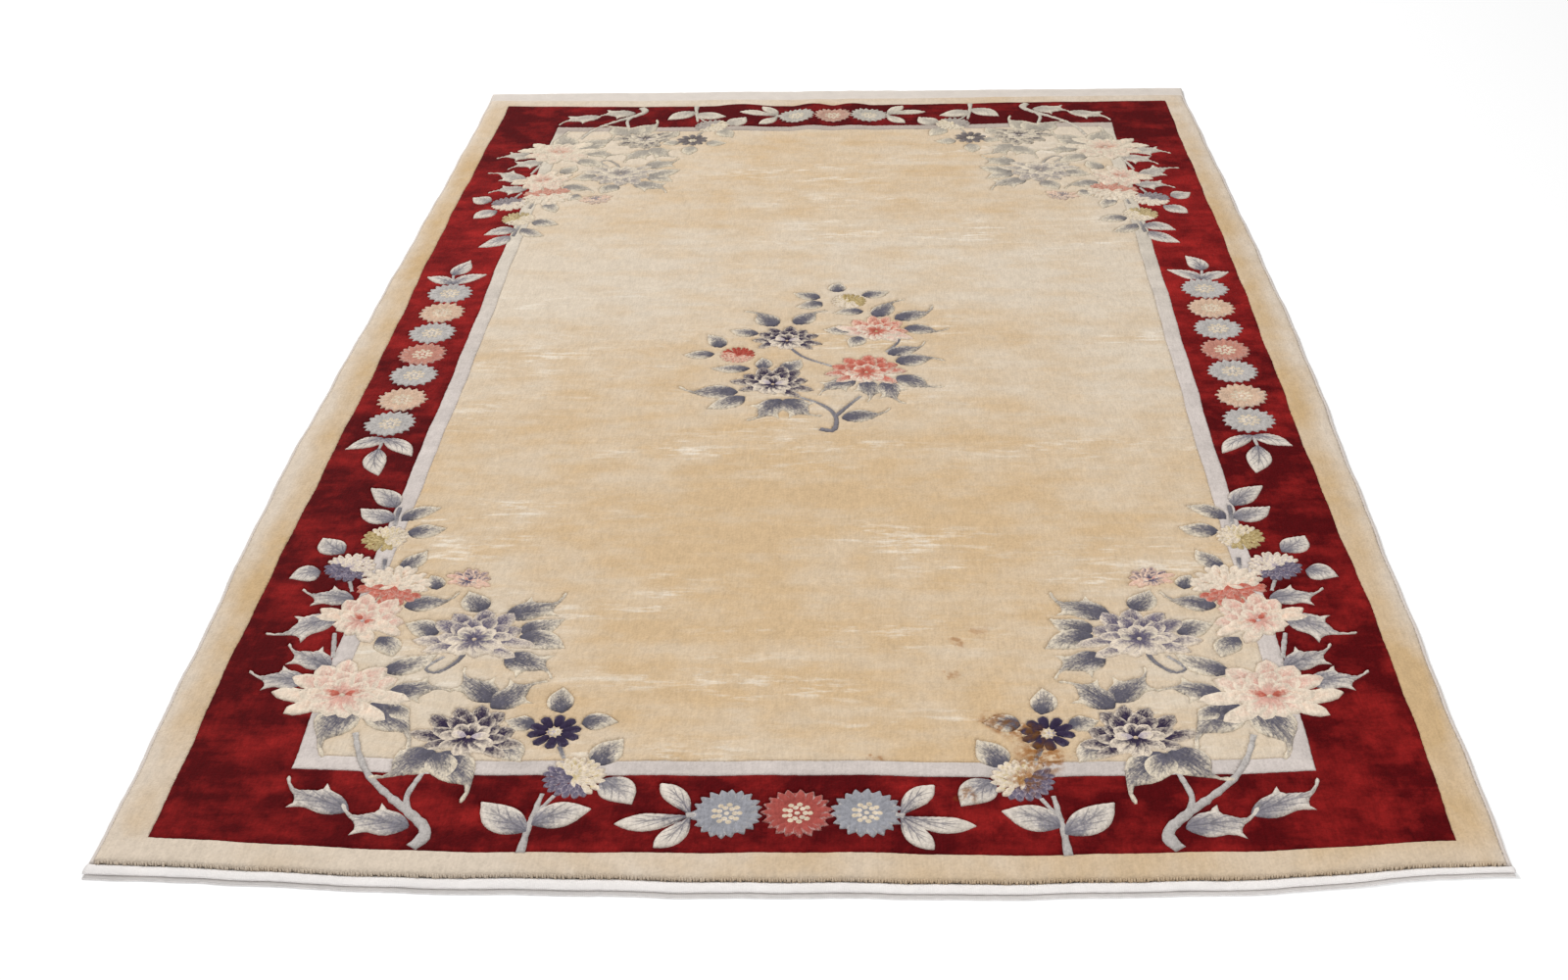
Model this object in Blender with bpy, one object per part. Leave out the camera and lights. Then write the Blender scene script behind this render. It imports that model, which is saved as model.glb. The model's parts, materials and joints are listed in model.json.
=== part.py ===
"""A hand-knotted Chinese rug with carved pile, laid flat on a floor.

The knotted pile and its foundation are one solid. The flat-woven end webs and the overcast side cords
are the pieces that finish its four edges. Metres, +Z up, floor at z = 0, the long way along Y, and the
origin in the middle of the rug at floor height. The front end is at -Y.
"""
import math

import bmesh
import bpy

# Plan of the weave, as the loom was set up
PILE_HALF_WIDTH = 0.915
PILE_HALF_LENGTH = 1.500
OUTER_BAND = 0.048
CRIMSON_BAND = 0.157
GREY_BAND = 0.031
CORD_WIDTH = 0.009
PLAN_SHIFT = (0.0020, -0.0292)  # centres the whole rug, webs, cords and all, on the origin

# Thickness
PILE_HEIGHT = 0.0130
EDGE_FALL = 0.0025  # the outermost pile leans out and lies this much lower
EDGE_FALL_WIDTH = 0.007
PIECE_GAP = 0.0003

# Clipped groove along each band line
GROOVE_HALF_WIDTH = 0.0032
GROOVE_DEPTH = 0.0022

# Grid of the solids
PILE_STEP = 0.060

# How far the long sides lie outside the plan, by place along the rug
SIDE_COLUMNS = ("y", "band_left", "edge_left", "band_right", "edge_right")
SIDE_BOWS = (
    (-1.5, -0.007, 0.003, -0.008, -0.003),
    (-1.0, 0.003, 0.012, 0.002, 0.004),
    (-0.5, 0.003, 0.024, -0.001, 0.011),
    (0.0, 0.000, 0.017, 0.003, 0.020),
    (0.5, 0.003, 0.009, 0.006, 0.016),
    (1.0, -0.002, 0.001, 0.002, 0.008),
    (1.5, -0.009, -0.003, -0.001, -0.001),
)

# How far the ends lie outside the plan, and how wide the webs are, by place across the rug
END_COLUMNS = ("x", "band_front", "edge_front", "web_front", "band_back", "edge_back", "web_back")
END_BOWS = (
    (-0.9, -0.022, -0.023, 0.024, 0.017, 0.015, 0.071),
    (-0.6, 0.000, -0.005, 0.023, 0.001, 0.004, 0.080),
    (-0.3, 0.006, -0.001, 0.026, -0.004, 0.000, 0.081),
    (0.0, 0.002, 0.002, 0.024, -0.011, -0.004, 0.082),
    (0.3, 0.004, 0.001, 0.023, -0.005, -0.002, 0.077),
    (0.6, -0.007, -0.011, 0.022, 0.000, 0.000, 0.073),
    (0.9, -0.030, -0.038, 0.015, -0.001, -0.002, 0.072),
)

# Low ripples that run in from the back end
RIPPLE_COLUMNS = ("x", "half_width", "height", "reach")
RIPPLES = (
    (-0.235, 0.085, 0.0060, 0.34),
    (-0.050, 0.060, 0.0085, 0.42),
    (0.052, 0.058, 0.0070, 0.36),
)

# Cross-sections: share of the width outwards from the pile, and height above the floor
FRONT_WEB_SECTION = ((0.0, 0.0042), (0.3, 0.0052), (0.7, 0.0048), (0.92, 0.0033), (1.0, 0.0014))
BACK_WEB_SECTION = ((0.0, 0.0036), (0.3, 0.0043), (0.6, 0.0062), (0.86, 0.0080), (1.0, 0.0026))
CORD_SECTION = ((0.0, 0.0080), (0.35, 0.0085), (0.72, 0.0070), (0.94, 0.0045), (1.0, 0.0018))

# Colour, roughness and metallic of each material
FINISHES = {
    "cream_pile": ((0.79, 0.60, 0.36), 0.62, 0.0),
    "crimson_pile": ((0.25, 0.012, 0.010), 0.66, 0.0),
    "grey_pile": ((0.46, 0.43, 0.43), 0.62, 0.0),
    "web_cotton": ((0.78, 0.74, 0.72), 0.85, 0.0),
    "cord_yarn": ((0.66, 0.60, 0.58), 0.75, 0.0),
}


def clear_scene():
    for obj in list(bpy.data.objects):
        bpy.data.objects.remove(obj, do_unlink=True)


def material(name):
    colour, roughness, metallic = FINISHES[name]
    made = bpy.data.materials.new(name)
    made.use_nodes = True
    shader = made.node_tree.nodes["Principled BSDF"]
    shader.inputs["Base Color"].default_value = (*colour, 1.0)
    shader.inputs["Roughness"].default_value = roughness
    shader.inputs["Metallic"].default_value = metallic
    return made


def along_table(rows, columns, name, where):
    """One column of a table at a place between its rows, on a smooth curve through them."""
    at = columns.index(name)
    last = len(rows) - 1
    step = rows[1][0] - rows[0][0]
    place = min(max((where - rows[0][0]) / step, 0.0), float(last))
    i = min(int(place), last - 1)
    t = place - i
    before, start, end, after = (rows[min(max(k, 0), last)][at] for k in (i - 1, i, i + 1, i + 2))
    rise, fall = (end - before) / 2, (after - start) / 2
    return (
        start
        + rise * t
        + (3 * (end - start) - 2 * rise - fall) * t ** 2
        + (2 * (start - end) + rise + fall) * t ** 3
    )


def hand_waver(where, phase):
    """The weaver's small unevenness along a line, a millimetre or two."""
    return 0.0011 * math.sin(where * 17.0 + phase) + 0.0007 * math.sin(where * 43.0 + 2.3 * phase)


def spread(across, half, band_off, edge_off):
    """Where a point lies across the rug, once the band line and the edge have bowed by these offsets."""
    out = abs(across)
    line = half - OUTER_BAND
    if out <= line:
        off = band_off * out / line
    else:
        off = band_off + (edge_off - band_off) * min((out - line) / OUTER_BAND, 1.0)
    return math.copysign(out + off, across)


def lay(x, y):
    """Turns a place in the plan into its place on the floor, with the bowed sides and ends."""
    side = "left" if x < 0 else "right"
    end = "front" if y < 0 else "back"
    band_x = along_table(SIDE_BOWS, SIDE_COLUMNS, "band_" + side, y) + hand_waver(y, 1.0 if x < 0 else 4.0)
    edge_x = along_table(SIDE_BOWS, SIDE_COLUMNS, "edge_" + side, y) + hand_waver(y, 2.0 if x < 0 else 5.0)
    band_y = along_table(END_BOWS, END_COLUMNS, "band_" + end, x) + hand_waver(x, 3.0 if y < 0 else 6.0)
    edge_y = along_table(END_BOWS, END_COLUMNS, "edge_" + end, x) + hand_waver(x, 3.5 if y < 0 else 6.5)
    return (
        spread(x, PILE_HALF_WIDTH, band_x, edge_x) + PLAN_SHIFT[0],
        spread(y, PILE_HALF_LENGTH, band_y, edge_y) + PLAN_SHIFT[1],
    )


def ripple(x, y):
    """Height of the cloth off the floor at a place in the plan."""
    height = 0.0
    for place, half_width, top, reach in RIPPLES:
        aside = (x - place) / half_width
        inward = 1.0 - min(max((y - PILE_HALF_LENGTH + reach) / reach, 0.0), 1.0)
        if abs(aside) < 1.0:
            height += top * (1 - aside ** 2) ** 2 * (1 - inward ** 2) ** 2
    return height


def band_rings():
    """Half width and half length of each band line, from the outside in."""
    inward = 0.0
    rings = []
    for width in (OUTER_BAND, CRIMSON_BAND, GREY_BAND):
        inward += width
        rings.append((PILE_HALF_WIDTH - inward, PILE_HALF_LENGTH - inward))
    return rings


def pile_top(x, y):
    """Height of the pile at a place in the plan, with the grooves and the fall at the rim."""
    height = PILE_HEIGHT
    for half_width, half_length in band_rings():
        away = abs(max(abs(x) - half_width, abs(y) - half_length))
        height -= GROOVE_DEPTH * max(1.0 - away / GROOVE_HALF_WIDTH, 0.0)
    to_rim = min(PILE_HALF_WIDTH - abs(x), PILE_HALF_LENGTH - abs(y))
    height -= EDGE_FALL * max(1.0 - to_rim / EDGE_FALL_WIDTH, 0.0) ** 2
    return height + ripple(x, y)


def stations(half, ring_axis):
    """Grid places from -half to half: both sides and the foot of each groove, the rim, and even steps."""
    fixed = {half, half - EDGE_FALL_WIDTH}
    for ring in band_rings():
        line = ring[ring_axis]
        fixed |= {line - GROOVE_HALF_WIDTH, line, line + GROOVE_HALF_WIDTH}
    fixed = sorted(fixed)
    inner = fixed[0]
    count = round(2 * inner / PILE_STEP)
    middle = [-inner + 2 * inner * i / count for i in range(count + 1)]
    filled = []
    for a, b in zip(fixed, fixed[1:]):
        parts = max(1, round((b - a) / PILE_STEP))
        filled += [a + (b - a) * i / parts for i in range(1, parts + 1)]
    return [-place for place in reversed(filled)] + middle + filled


def band_material(x, y):
    """Which pile lies at a place in the plan: 0 cream, 1 crimson, 2 grey."""
    inside = [abs(x) < half_width and abs(y) < half_length for half_width, half_length in band_rings()]
    return {1: 1, 2: 2}.get(sum(inside), 0)


def pile_carpet():
    """The knotted pile on its foundation, one solid with a flat underside."""
    across = stations(PILE_HALF_WIDTH, 0)
    along = stations(PILE_HALF_LENGTH, 1)
    bm = bmesh.new()
    bmesh.ops.create_grid(bm, x_segments=len(across) - 1, y_segments=len(along) - 1, size=1.0)
    plan = {}
    for vert in bm.verts:
        column = round((vert.co.x + 1) / 2 * (len(across) - 1))
        row = round((vert.co.y + 1) / 2 * (len(along) - 1))
        plan[vert] = (across[column], along[row])
    for face in bm.faces:
        corners = [plan[vert] for vert in face.verts]
        middle = [sum(corner[axis] for corner in corners) / len(corners) for axis in (0, 1)]
        face.material_index = band_material(*middle)
    for vert, (x, y) in plan.items():
        vert.co = (*lay(x, y), ripple(x, y))
    under = list(bm.faces)
    raised = bmesh.ops.extrude_face_region(bm, geom=under)["geom"]
    tops = {(round(v.co.x, 6), round(v.co.y, 6)): v for v in raised if isinstance(v, bmesh.types.BMVert)}
    for vert, (x, y) in plan.items():
        tops[round(vert.co.x, 6), round(vert.co.y, 6)].co.z = pile_top(x, y)
    return finished(bm, "pile_carpet", ("cream_pile", "crimson_pile", "grey_pile"))


def finished(bm, name, finish_names):
    """Makes the mesh an object with its materials and smooth shading."""
    bmesh.ops.recalc_face_normals(bm, faces=bm.faces)
    mesh = bpy.data.meshes.new(name)
    bm.to_mesh(mesh)
    bm.free()
    mesh.shade_smooth()
    mesh.set_sharp_from_angle(angle=math.radians(40))
    for finish in finish_names:
        mesh.materials.append(bpy.data.materials.get(finish) or material(finish))
    obj = bpy.data.objects.new(name, mesh)
    bpy.context.scene.collection.objects.link(obj)
    return obj


def loft(name, finish, rings):
    """A closed solid through rings of points, one ring for each station, flat at both ends."""
    bm = bmesh.new()
    loops = []
    for ring in rings:
        verts = [bm.verts.new(point) for point in ring]
        loops.append([bm.edges.new((a, b)) for a, b in zip(verts, verts[1:] + verts[:1])])
    for first, second in zip(loops, loops[1:]):
        bmesh.ops.bridge_loops(bm, edges=first + second)
    for cap in (loops[0], loops[-1]):
        bmesh.ops.contextual_create(bm, geom=cap)
    return finished(bm, name, (finish,))


def end_web(end):
    """The flat-woven cotton web beyond the pile at one end, its outer edge turned under."""
    sign = -1 if end == "front" else 1
    section = FRONT_WEB_SECTION if end == "front" else BACK_WEB_SECTION
    corner = PILE_HALF_WIDTH + CORD_WIDTH
    rings = []
    for x in [-corner] + stations(PILE_HALF_WIDTH, 0) + [corner]:
        width = along_table(END_BOWS, END_COLUMNS, "web_" + end, x)
        inner = PILE_HALF_LENGTH + PIECE_GAP
        lift = ripple(x, sign * PILE_HALF_LENGTH)
        top = [(*lay(x, sign * (inner + share * width)), height + lift) for share, height in section]
        rings.append(top + [(*top[-1][:2], lift), (*top[0][:2], lift)])
    return loft("end_web_" + end, "web_cotton", rings)


def side_cord(side):
    """The overcast cord that binds one long side of the foundation."""
    sign = -1 if side == "left" else 1
    rings = []
    for y in stations(PILE_HALF_LENGTH, 1):
        inner = PILE_HALF_WIDTH + PIECE_GAP
        top = [(*lay(sign * (inner + share * CORD_WIDTH), y), height) for share, height in CORD_SECTION]
        rings.append(top + [(*top[-1][:2], 0.0), (*top[0][:2], 0.0)])
    return loft("side_cord_" + side, "cord_yarn", rings)


def main():
    clear_scene()
    pile_carpet()
    for end in ("front", "back"):
        end_web(end)
    for side in ("left", "right"):
        side_cord(side)


main()
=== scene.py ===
"""Looks of a hand-knotted Chinese rug with carved pile, laid flat on a floor.

The pile is one net of points, cut along the outline of every leaf, petal and band, and clipped down into
a groove along each cut. It is parted into pieces by yarn and by motif. Metres, +Z up, floor at z = 0.
"""

import json
import math
import random
from collections import namedtuple

import bmesh
import bpy
import numpy as np
from bpy.props import FloatProperty, FloatVectorProperty, PointerProperty
from mathutils import Matrix, Vector, noise
from mathutils.geometry import delaunay_2d_cdt
from mathutils.kdtree import KDTree

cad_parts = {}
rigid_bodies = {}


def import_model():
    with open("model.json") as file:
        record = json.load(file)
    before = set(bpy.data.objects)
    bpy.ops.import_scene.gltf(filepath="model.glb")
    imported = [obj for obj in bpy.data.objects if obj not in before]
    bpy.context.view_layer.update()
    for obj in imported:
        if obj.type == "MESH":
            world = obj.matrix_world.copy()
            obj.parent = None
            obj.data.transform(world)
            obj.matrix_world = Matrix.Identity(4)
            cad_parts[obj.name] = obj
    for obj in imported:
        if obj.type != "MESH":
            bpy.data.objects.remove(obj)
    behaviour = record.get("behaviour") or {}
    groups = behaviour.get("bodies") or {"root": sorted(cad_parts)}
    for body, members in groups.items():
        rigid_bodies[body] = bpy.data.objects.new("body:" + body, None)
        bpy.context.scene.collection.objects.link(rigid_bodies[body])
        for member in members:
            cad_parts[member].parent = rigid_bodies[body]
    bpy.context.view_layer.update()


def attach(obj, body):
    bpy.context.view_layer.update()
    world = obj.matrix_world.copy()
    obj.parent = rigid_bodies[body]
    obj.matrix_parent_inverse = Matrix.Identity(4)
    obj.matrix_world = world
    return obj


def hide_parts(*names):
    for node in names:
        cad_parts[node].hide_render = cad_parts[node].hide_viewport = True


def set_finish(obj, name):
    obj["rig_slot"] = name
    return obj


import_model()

bl_info = {
    "name": "Carved Chinese Rug",
    "version": (1, 0, 0),
    "blender": (4, 5, 0),
    "location": "View3D > Sidebar > Rug",
    "description": "Makes the carved pile, foundation, webs, cords and studio of a Chinese rug",
    "category": "Mesh",
}

MM = 0.001

# Plan of the weave, as the loom was set up
PILE_HALF_WIDTH = 0.915
PILE_HALF_LENGTH = 1.500
OUTER_BAND = 0.048
CRIMSON_BAND = 0.157
GREY_BAND = 0.031
CORD_WIDTH = 0.009
PLAN_SHIFT = (0.0020, -0.0292)
PIECE_GAP = 0.0003

# How far the long sides lie outside the plan, by place along the rug
SIDE_COLUMNS = ("y", "band_left", "edge_left", "band_right", "edge_right")
SIDE_BOWS = (
    (-1.5, -0.007, 0.003, -0.008, -0.003),
    (-1.0, 0.003, 0.012, 0.002, 0.004),
    (-0.5, 0.003, 0.024, -0.001, 0.011),
    (0.0, 0.000, 0.017, 0.003, 0.020),
    (0.5, 0.003, 0.009, 0.006, 0.016),
    (1.0, -0.002, 0.001, 0.002, 0.008),
    (1.5, -0.009, -0.003, -0.001, -0.001),
)

# How far the ends lie outside the plan, and how wide the webs are, by place across the rug
END_COLUMNS = ("x", "band_front", "edge_front", "web_front", "band_back", "edge_back", "web_back")
END_BOWS = (
    (-0.9, -0.022, -0.023, 0.024, 0.017, 0.015, 0.071),
    (-0.6, 0.000, -0.005, 0.023, 0.001, 0.004, 0.080),
    (-0.3, 0.006, -0.001, 0.026, -0.004, 0.000, 0.081),
    (0.0, 0.002, 0.002, 0.024, -0.011, -0.004, 0.082),
    (0.3, 0.004, 0.001, 0.023, -0.005, -0.002, 0.077),
    (0.6, -0.007, -0.011, 0.022, 0.000, 0.000, 0.073),
    (0.9, -0.030, -0.038, 0.015, -0.001, -0.002, 0.072),
)

# Low ripples that run in from the back end: place across the rug, half width, height and reach
RIPPLES = (
    (-0.235, 0.085, 0.0060, 0.34),
    (-0.050, 0.060, 0.0085, 0.42),
    (0.052, 0.058, 0.0070, 0.36),
)

# Share of a ripple's height that has gone at the pile's outer edge
RIM_EASE = 0.85

# Middle line of the folded web cloth: share of its width outwards from the pile, and height
FRONT_WEB_FOLD = (
    (0.02, 0.0038), (0.26, 0.0059), (0.54, 0.0072), (0.74, 0.0069), (0.84, 0.0058), (0.77, 0.0047),
    (0.50, 0.0043), (0.24, 0.0034), (0.18, 0.0020), (0.28, 0.0010), (0.64, 0.0008), (1.06, 0.0008),
)
BACK_WEB_FOLD = (
    (0.01, 0.0028), (0.30, 0.0035), (0.60, 0.0054), (0.84, 0.0071), (0.94, 0.0062), (0.985, 0.0036),
    (0.95, 0.0012), (0.80, 0.0009), (0.40, 0.0009), (0.03, 0.0009),
)
WEB_THICKNESS = 0.0015
# Woven width of each web, as a share of the width that shows
FRONT_WEB_CUT = 2.6
BACK_WEB_CUT = 2.0
STATION_STEP = 0.005

# Small unevenness along webs and cords: height, waves for each metre, and two seeds
WEB_EDGE_WAVES = ((0.0009, 24, 3.0, 0.0), (0.0005, 90, 1.0, 2.0))
WEB_TOP_WAVES = ((0.0004, 30, 5.0, 1.0), (0.0003, 110, 1.0, 3.0))
CORD_WAVES = ((0.0004, 60, 7.0, 0.0),)

# Cross-section of the overcast cord: share of its width outwards, and height
CORD_SECTION = (
    (0.02, 0.0006), (0.0, 0.0040), (0.10, 0.0074), (0.40, 0.0085), (0.72, 0.0072), (0.96, 0.0042),
    (0.80, 0.0006),
)
WRAP_PITCH = 0.0034
WRAP_DEPTH = 0.0007
WRAP_STATIONS = 4

# The net of the carved pile
LINE_STEP = 0.0060
SHOULDER = 0.0021
SHOULDER_CELL = 0.0022
FINE_STEP = 0.0056
PLAIN_STEP = 0.0125
FINE_REACH = 0.0090
CUT_EPSILON = 0.00004
LINE_JITTER = 0.0004
CROWN_REACH = 0.008
RIM_FALL = 0.0025
RIM_ROUNDING = 0.007
SURFACE_ROLL = 0.00032

# The cotton foundation under the pile
FOUNDATION_TOP = 0.0030
FOUNDATION_CLEARANCE = 0.0002
FOUNDATION_GRID = (48, 76)

# Loose tufts along the rims: height of the foot and lean outwards at the ends and at the sides, then for all
TUFT_PITCH = 0.0034
END_TUFT_FEET, END_TUFT_LEANS = (0.0044, 0.0070), (0.0002, 0.0032)
SIDE_TUFT_FEET, SIDE_TUFT_LEANS = (0.0076, 0.0086), (0.0002, 0.0014)
TUFT_DROPS = (0.0020, 0.0034)
TUFT_WIDTHS = (0.0013, 0.0019)
TUFT_SKEW = 0.0006
TUFT_ROOT = 0.0006

GROUNDS = ("outer_band", "crimson_border", "grey_line", "field")

# Yarn colours as they show, 0 to 255
YARN = {
    "slate": (120, 116, 122),
    "deep_slate": (90, 87, 98),
    "border_slate": (128, 124, 130),
    "stem_grey": (176, 170, 166),
    "pale_grey": (196, 190, 184),
    "mist": (218, 205, 184),
    "frost": (210, 200, 188),
    "ink": (50, 40, 64),
    "violet": (96, 89, 108),
    "lilac": (172, 160, 168),
    "cream_white": (220, 205, 186),
    "shell": (222, 192, 170),
    "pink": (206, 158, 144),
    "coral": (184, 96, 80),
    "red": (158, 58, 46),
    "olive": (156, 134, 88),
    "straw": (202, 182, 136),
    "rosette_grey": (177, 172, 168),
    "rosette_rose": (184, 128, 112),
    "rosette_tan": (202, 172, 148),
    "garland_grey": (146, 146, 152),
    "garland_rose": (160, 76, 69),
    "heart": (208, 192, 168),
}

# Leaves on the field, on the crimson border and in the garlands: root, tip, how strongly veined, and how far
# the root tone reaches
LEAF_TONES = {
    "field": ("deep_slate", "mist", 0.50, 0.55),
    "border": ("border_slate", "frost", 0.60, 0.46),
    "garland": ("border_slate", "frost", 0.75, 0.34),
}

# Each kind of bloom: tones of its parts, as root, tip and how far the root tone reaches
PEONY_TONES = {
    "pink": {"back": ("pink", "cream_white", 0.62), "side": ("shell", "cream_white", 0.50),
             "front": ("pink", "cream_white", 0.50), "heart": ("coral", "cream_white", 0.58)},
    "white_pink": {"back": ("pink", "cream_white", 0.68), "side": ("shell", "cream_white", 0.62),
                   "front": ("pink", "cream_white", 0.50), "heart": ("coral", "cream_white", 0.60)},
    "coral": {"back": ("coral", "shell", 0.92), "side": ("coral", "cream_white", 0.78),
              "front": ("coral", "cream_white", 0.60), "heart": ("coral", "shell", 0.7)},
    "rose": {"back": ("coral", "shell", 0.72), "side": ("pink", "cream_white", 0.62),
             "front": ("coral", "cream_white", 0.50), "heart": ("coral", "shell", 0.7)},
    "violet": {"back": ("violet", "cream_white", 0.82), "side": ("violet", "cream_white", 0.64),
               "front": ("violet", "cream_white", 0.50), "heart": ("violet", "mist", 0.6)},
    "ink": {"back": ("ink", "cream_white", 0.88), "side": ("ink", "cream_white", 0.80),
            "front": ("ink", "cream_white", 0.58), "heart": ("lilac", "cream_white", 0.5)},
    "bud": {"back": ("violet", "shell", 0.7), "side": ("pink", "shell", 0.6),
            "front": ("violet", "shell", 0.6), "heart": ("pink", "cream_white", 0.6)},
}
CHRYSANTHEMUM_TONES = {
    "gold": (("olive", "straw", 0.7), ("straw", "cream_white", 0.45)),
    "purple": (("violet", "lilac", 0.9), ("lilac", "cream_white", 0.40)),
    "cream": (("violet", "lilac", 0.85), ("straw", "cream_white", 0.40)),
    "coral": (("red", "coral", 0.7), ("coral", "shell", 0.6)),
    "ruffled": (("coral", "pink", 0.8), ("shell", "cream_white", 0.30)),
}

# Rings of a peony, from the back to the front: petals, fan in degrees about the way it opens, reach, breadth
# and tone
PEONY_RINGS = (
    (5, -66, 66, 0.98, 0.46, "back"),
    (2, -94, 94, 1.14, 0.38, "side"),
    (2, -122, 122, 0.98, 0.36, "side"),
    (4, -50, 50, 0.70, 0.40, "back"),
    (2, -84, 84, 0.72, 0.34, "side"),
    (4, 138, 222, 0.60, 0.34, "front"),
    (2, -106, 106, 0.56, 0.30, "front"),
    (3, -44, 44, 0.44, 0.32, "front"),
    (2, -76, 76, 0.36, 0.24, "heart"),
)
PEONY_SEAT = 0.16
LEAF_FULLNESS = 1.12
LOBED_HALF = 0.45
GARLAND_LEAF_PEAK = 0.60
DAISY_PETALS = 10
# Rings of a chrysanthemum, from the rim inwards: petals, reach and breadth
CHRYSANTHEMUM_RINGS = ((20, 1.0, 0.25), (17, 0.80, 0.23), (13, 0.60, 0.21), (8, 0.40, 0.19), (4, 0.20, 0.16))

# One corner spray, in millimetres from the pile's side edge and end edge.
# Blooms: kind, tones, place, radius, and the way they open in degrees
SPRAY_BLOOMS = (
    ("chrysanthemum", "gold", 209, 811, 40, 45),
    ("chrysanthemum", "purple", 171, 721, 43, 60),
    ("peony", "bud", 374, 695, 34, 70),
    ("chrysanthemum", "ruffled", 254, 669, 60, 80),
    ("peony", "white_pink", 231, 580, 69, 60),
    ("peony", "violet", 411, 540, 78, 85),
    ("peony", "pink", 239, 392, 87, 90),
    ("peony", "ink", 445, 300, 70, 80),
    ("chrysanthemum", "cream", 606, 200, 45, 40),
    ("daisy", "ink", 565, 301, 39, 0),
)
# Leaves: form, place of the base, place of the tip, and width
SPRAY_LEAVES = (
    ("plain", 205, 910, 145, 974, 40),
    ("plain", 212, 871, 145, 905, 42),
    ("plain", 224, 868, 284, 912, 36),
    ("plain", 242, 830, 306, 845, 38),
    ("plain", 152, 762, 104, 808, 40),
    ("plain", 126, 706, 78, 684, 46),
    ("plain", 254, 718, 289, 774, 36),
    ("plain", 325, 661, 308, 702, 30),
    ("lobed", 198, 628, 108, 648, 44),
    ("lobed", 182, 579, 87, 521, 50),
    ("lobed", 206, 446, 125, 498, 46),
    ("lobed", 179, 408, 85, 424, 44),
    ("thread", 284, 612, 366, 650, 40),
    ("plain", 414, 604, 378, 658, 40),
    ("lobed", 449, 588, 539, 648, 50),
    ("plain", 475, 552, 542, 582, 42),
    ("plain", 479, 538, 554, 504, 46),
    ("lobed", 466, 486, 548, 432, 50),
    ("plain", 351, 539, 295, 564, 42),
    ("plain", 261, 526, 296, 476, 36),
    ("plain", 288, 438, 362, 485, 42),
    ("lobed", 466, 371, 406, 451, 48),
    ("lobed", 466, 356, 536, 425, 46),
    ("lobed", 306, 386, 400, 399, 44),
    ("thread", 256, 356, 236, 234, 58),
    ("thread", 286, 360, 366, 262, 58),
    ("plain", 318, 350, 349, 324, 30),
    ("plain", 535, 320, 490, 328, 34),
    ("plain", 571, 344, 565, 406, 38),
    ("plain", 602, 320, 655, 324, 38),
    ("plain", 482, 275, 526, 234, 44),
    ("thread", 398, 258, 322, 190, 54),
    ("thread", 410, 254, 464, 150, 56),
    ("plain", 400, 252, 422, 192, 40),
    ("plain", 632, 226, 666, 286, 42),
    ("plain", 644, 196, 692, 144, 44),
    ("plain", 556, 88, 486, 149, 46),
    ("plain", 561, 102, 638, 136, 44),
    ("lobed", 306, 121, 201, 181, 46),
    ("lobed", 396, 95, 293, 126, 50),
)
# Stems: width at the foot, width at the tip, and the points they pass
SPRAY_STEMS = (
    (22, 9, ((408, 54), (419, 72), (418, 92), (396, 118), (325, 189), (295, 238), (278, 290))),
    (11, 8, ((396, 114), (381, 155), (392, 208))),
    (13, 7, ((555, 46), (558, 102), (567, 166))),
    (7, 6, ((558, 114), (584, 162))),
    (7, 6, ((576, 268), (586, 241))),
    (8, 6, ((404, 508), (396, 470), (370, 440), (351, 451), (374, 481))),
    (8, 7, ((190, 534), (205, 470))),
    (7, 6, ((179, 680), (190, 650))),
    (8, 7, ((224, 748), (228, 718))),
    (9, 7, ((212, 912), (216, 852))),
)

# The middle spray, in millimetres from the plan's centre
MIDDLE_BLOOMS = (
    ("chrysanthemum", "gold", 55, 236, 36, 225),
    ("peony", "rose", 115, 104, 66, 70),
    ("peony", "ink", -65, 64, 62, 85),
    ("chrysanthemum", "coral", -160, -11, 35, 250),
    ("peony", "coral", 92, -74, 70, 90),
    ("peony", "ink", -84, -122, 70, 80),
)
MIDDLE_LEAVES = (
    ("plain", 33, 281, 33, 330, 34),
    ("plain", 81, 266, 138, 281, 34),
    ("plain", -4, 254, -61, 279, 34),
    ("plain", 0, 232, -54, 210, 38),
    ("plain", 85, 188, 25, 178, 34),
    ("thread", 109, 161, 166, 246, 42),
    ("thread", 149, 150, 231, 208, 42),
    ("thread", 168, 109, 256, 98, 40),
    ("plain", 61, 105, 6, 101, 40),
    ("plain", 79, 71, 59, 22, 36),
    ("thread", -91, 120, -154, 194, 44),
    ("thread", -52, 129, 9, 194, 42),
    ("plain", -123, 86, -181, 101, 34),
    ("plain", -196, 22, -226, 82, 36),
    ("plain", -206, -4, -266, -9, 34),
    ("plain", -133, -68, -209, -68, 30),
    ("plain", -110, -71, -112, -22, 34),
    ("plain", -72, -75, -35, -30, 42),
    ("thread", -151, -166, -266, -148, 46),
    ("plain", -136, -184, -205, -231, 44),
    ("lobed", -69, -195, -123, -281, 50),
    ("lobed", -61, -196, 6, -266, 50),
    ("lobed", 70, -112, 0, -178, 46),
    ("lobed", 92, -120, 98, -208, 44),
    ("lobed", 126, -124, 161, -216, 44),
    ("thread", 149, -41, 244, -34, 44),
    ("thread", 151, -104, 236, -151, 46),
    ("thread", 134, -9, 211, 41, 38),
    ("thread", 48, -270, 139, -238, 40),
)
MIDDLE_STEMS = (
    (13, 7, ((8, -311), (33, -316), (36, -262), (10, -218), (-41, -182))),
    (10, 7, ((36, -262), (81, -184))),
    (7, 6, ((160, 79), (152, 38), (130, 0))),
    (7, 6, ((-61, 26), (-28, -22), (25, -60))),
)

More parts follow.
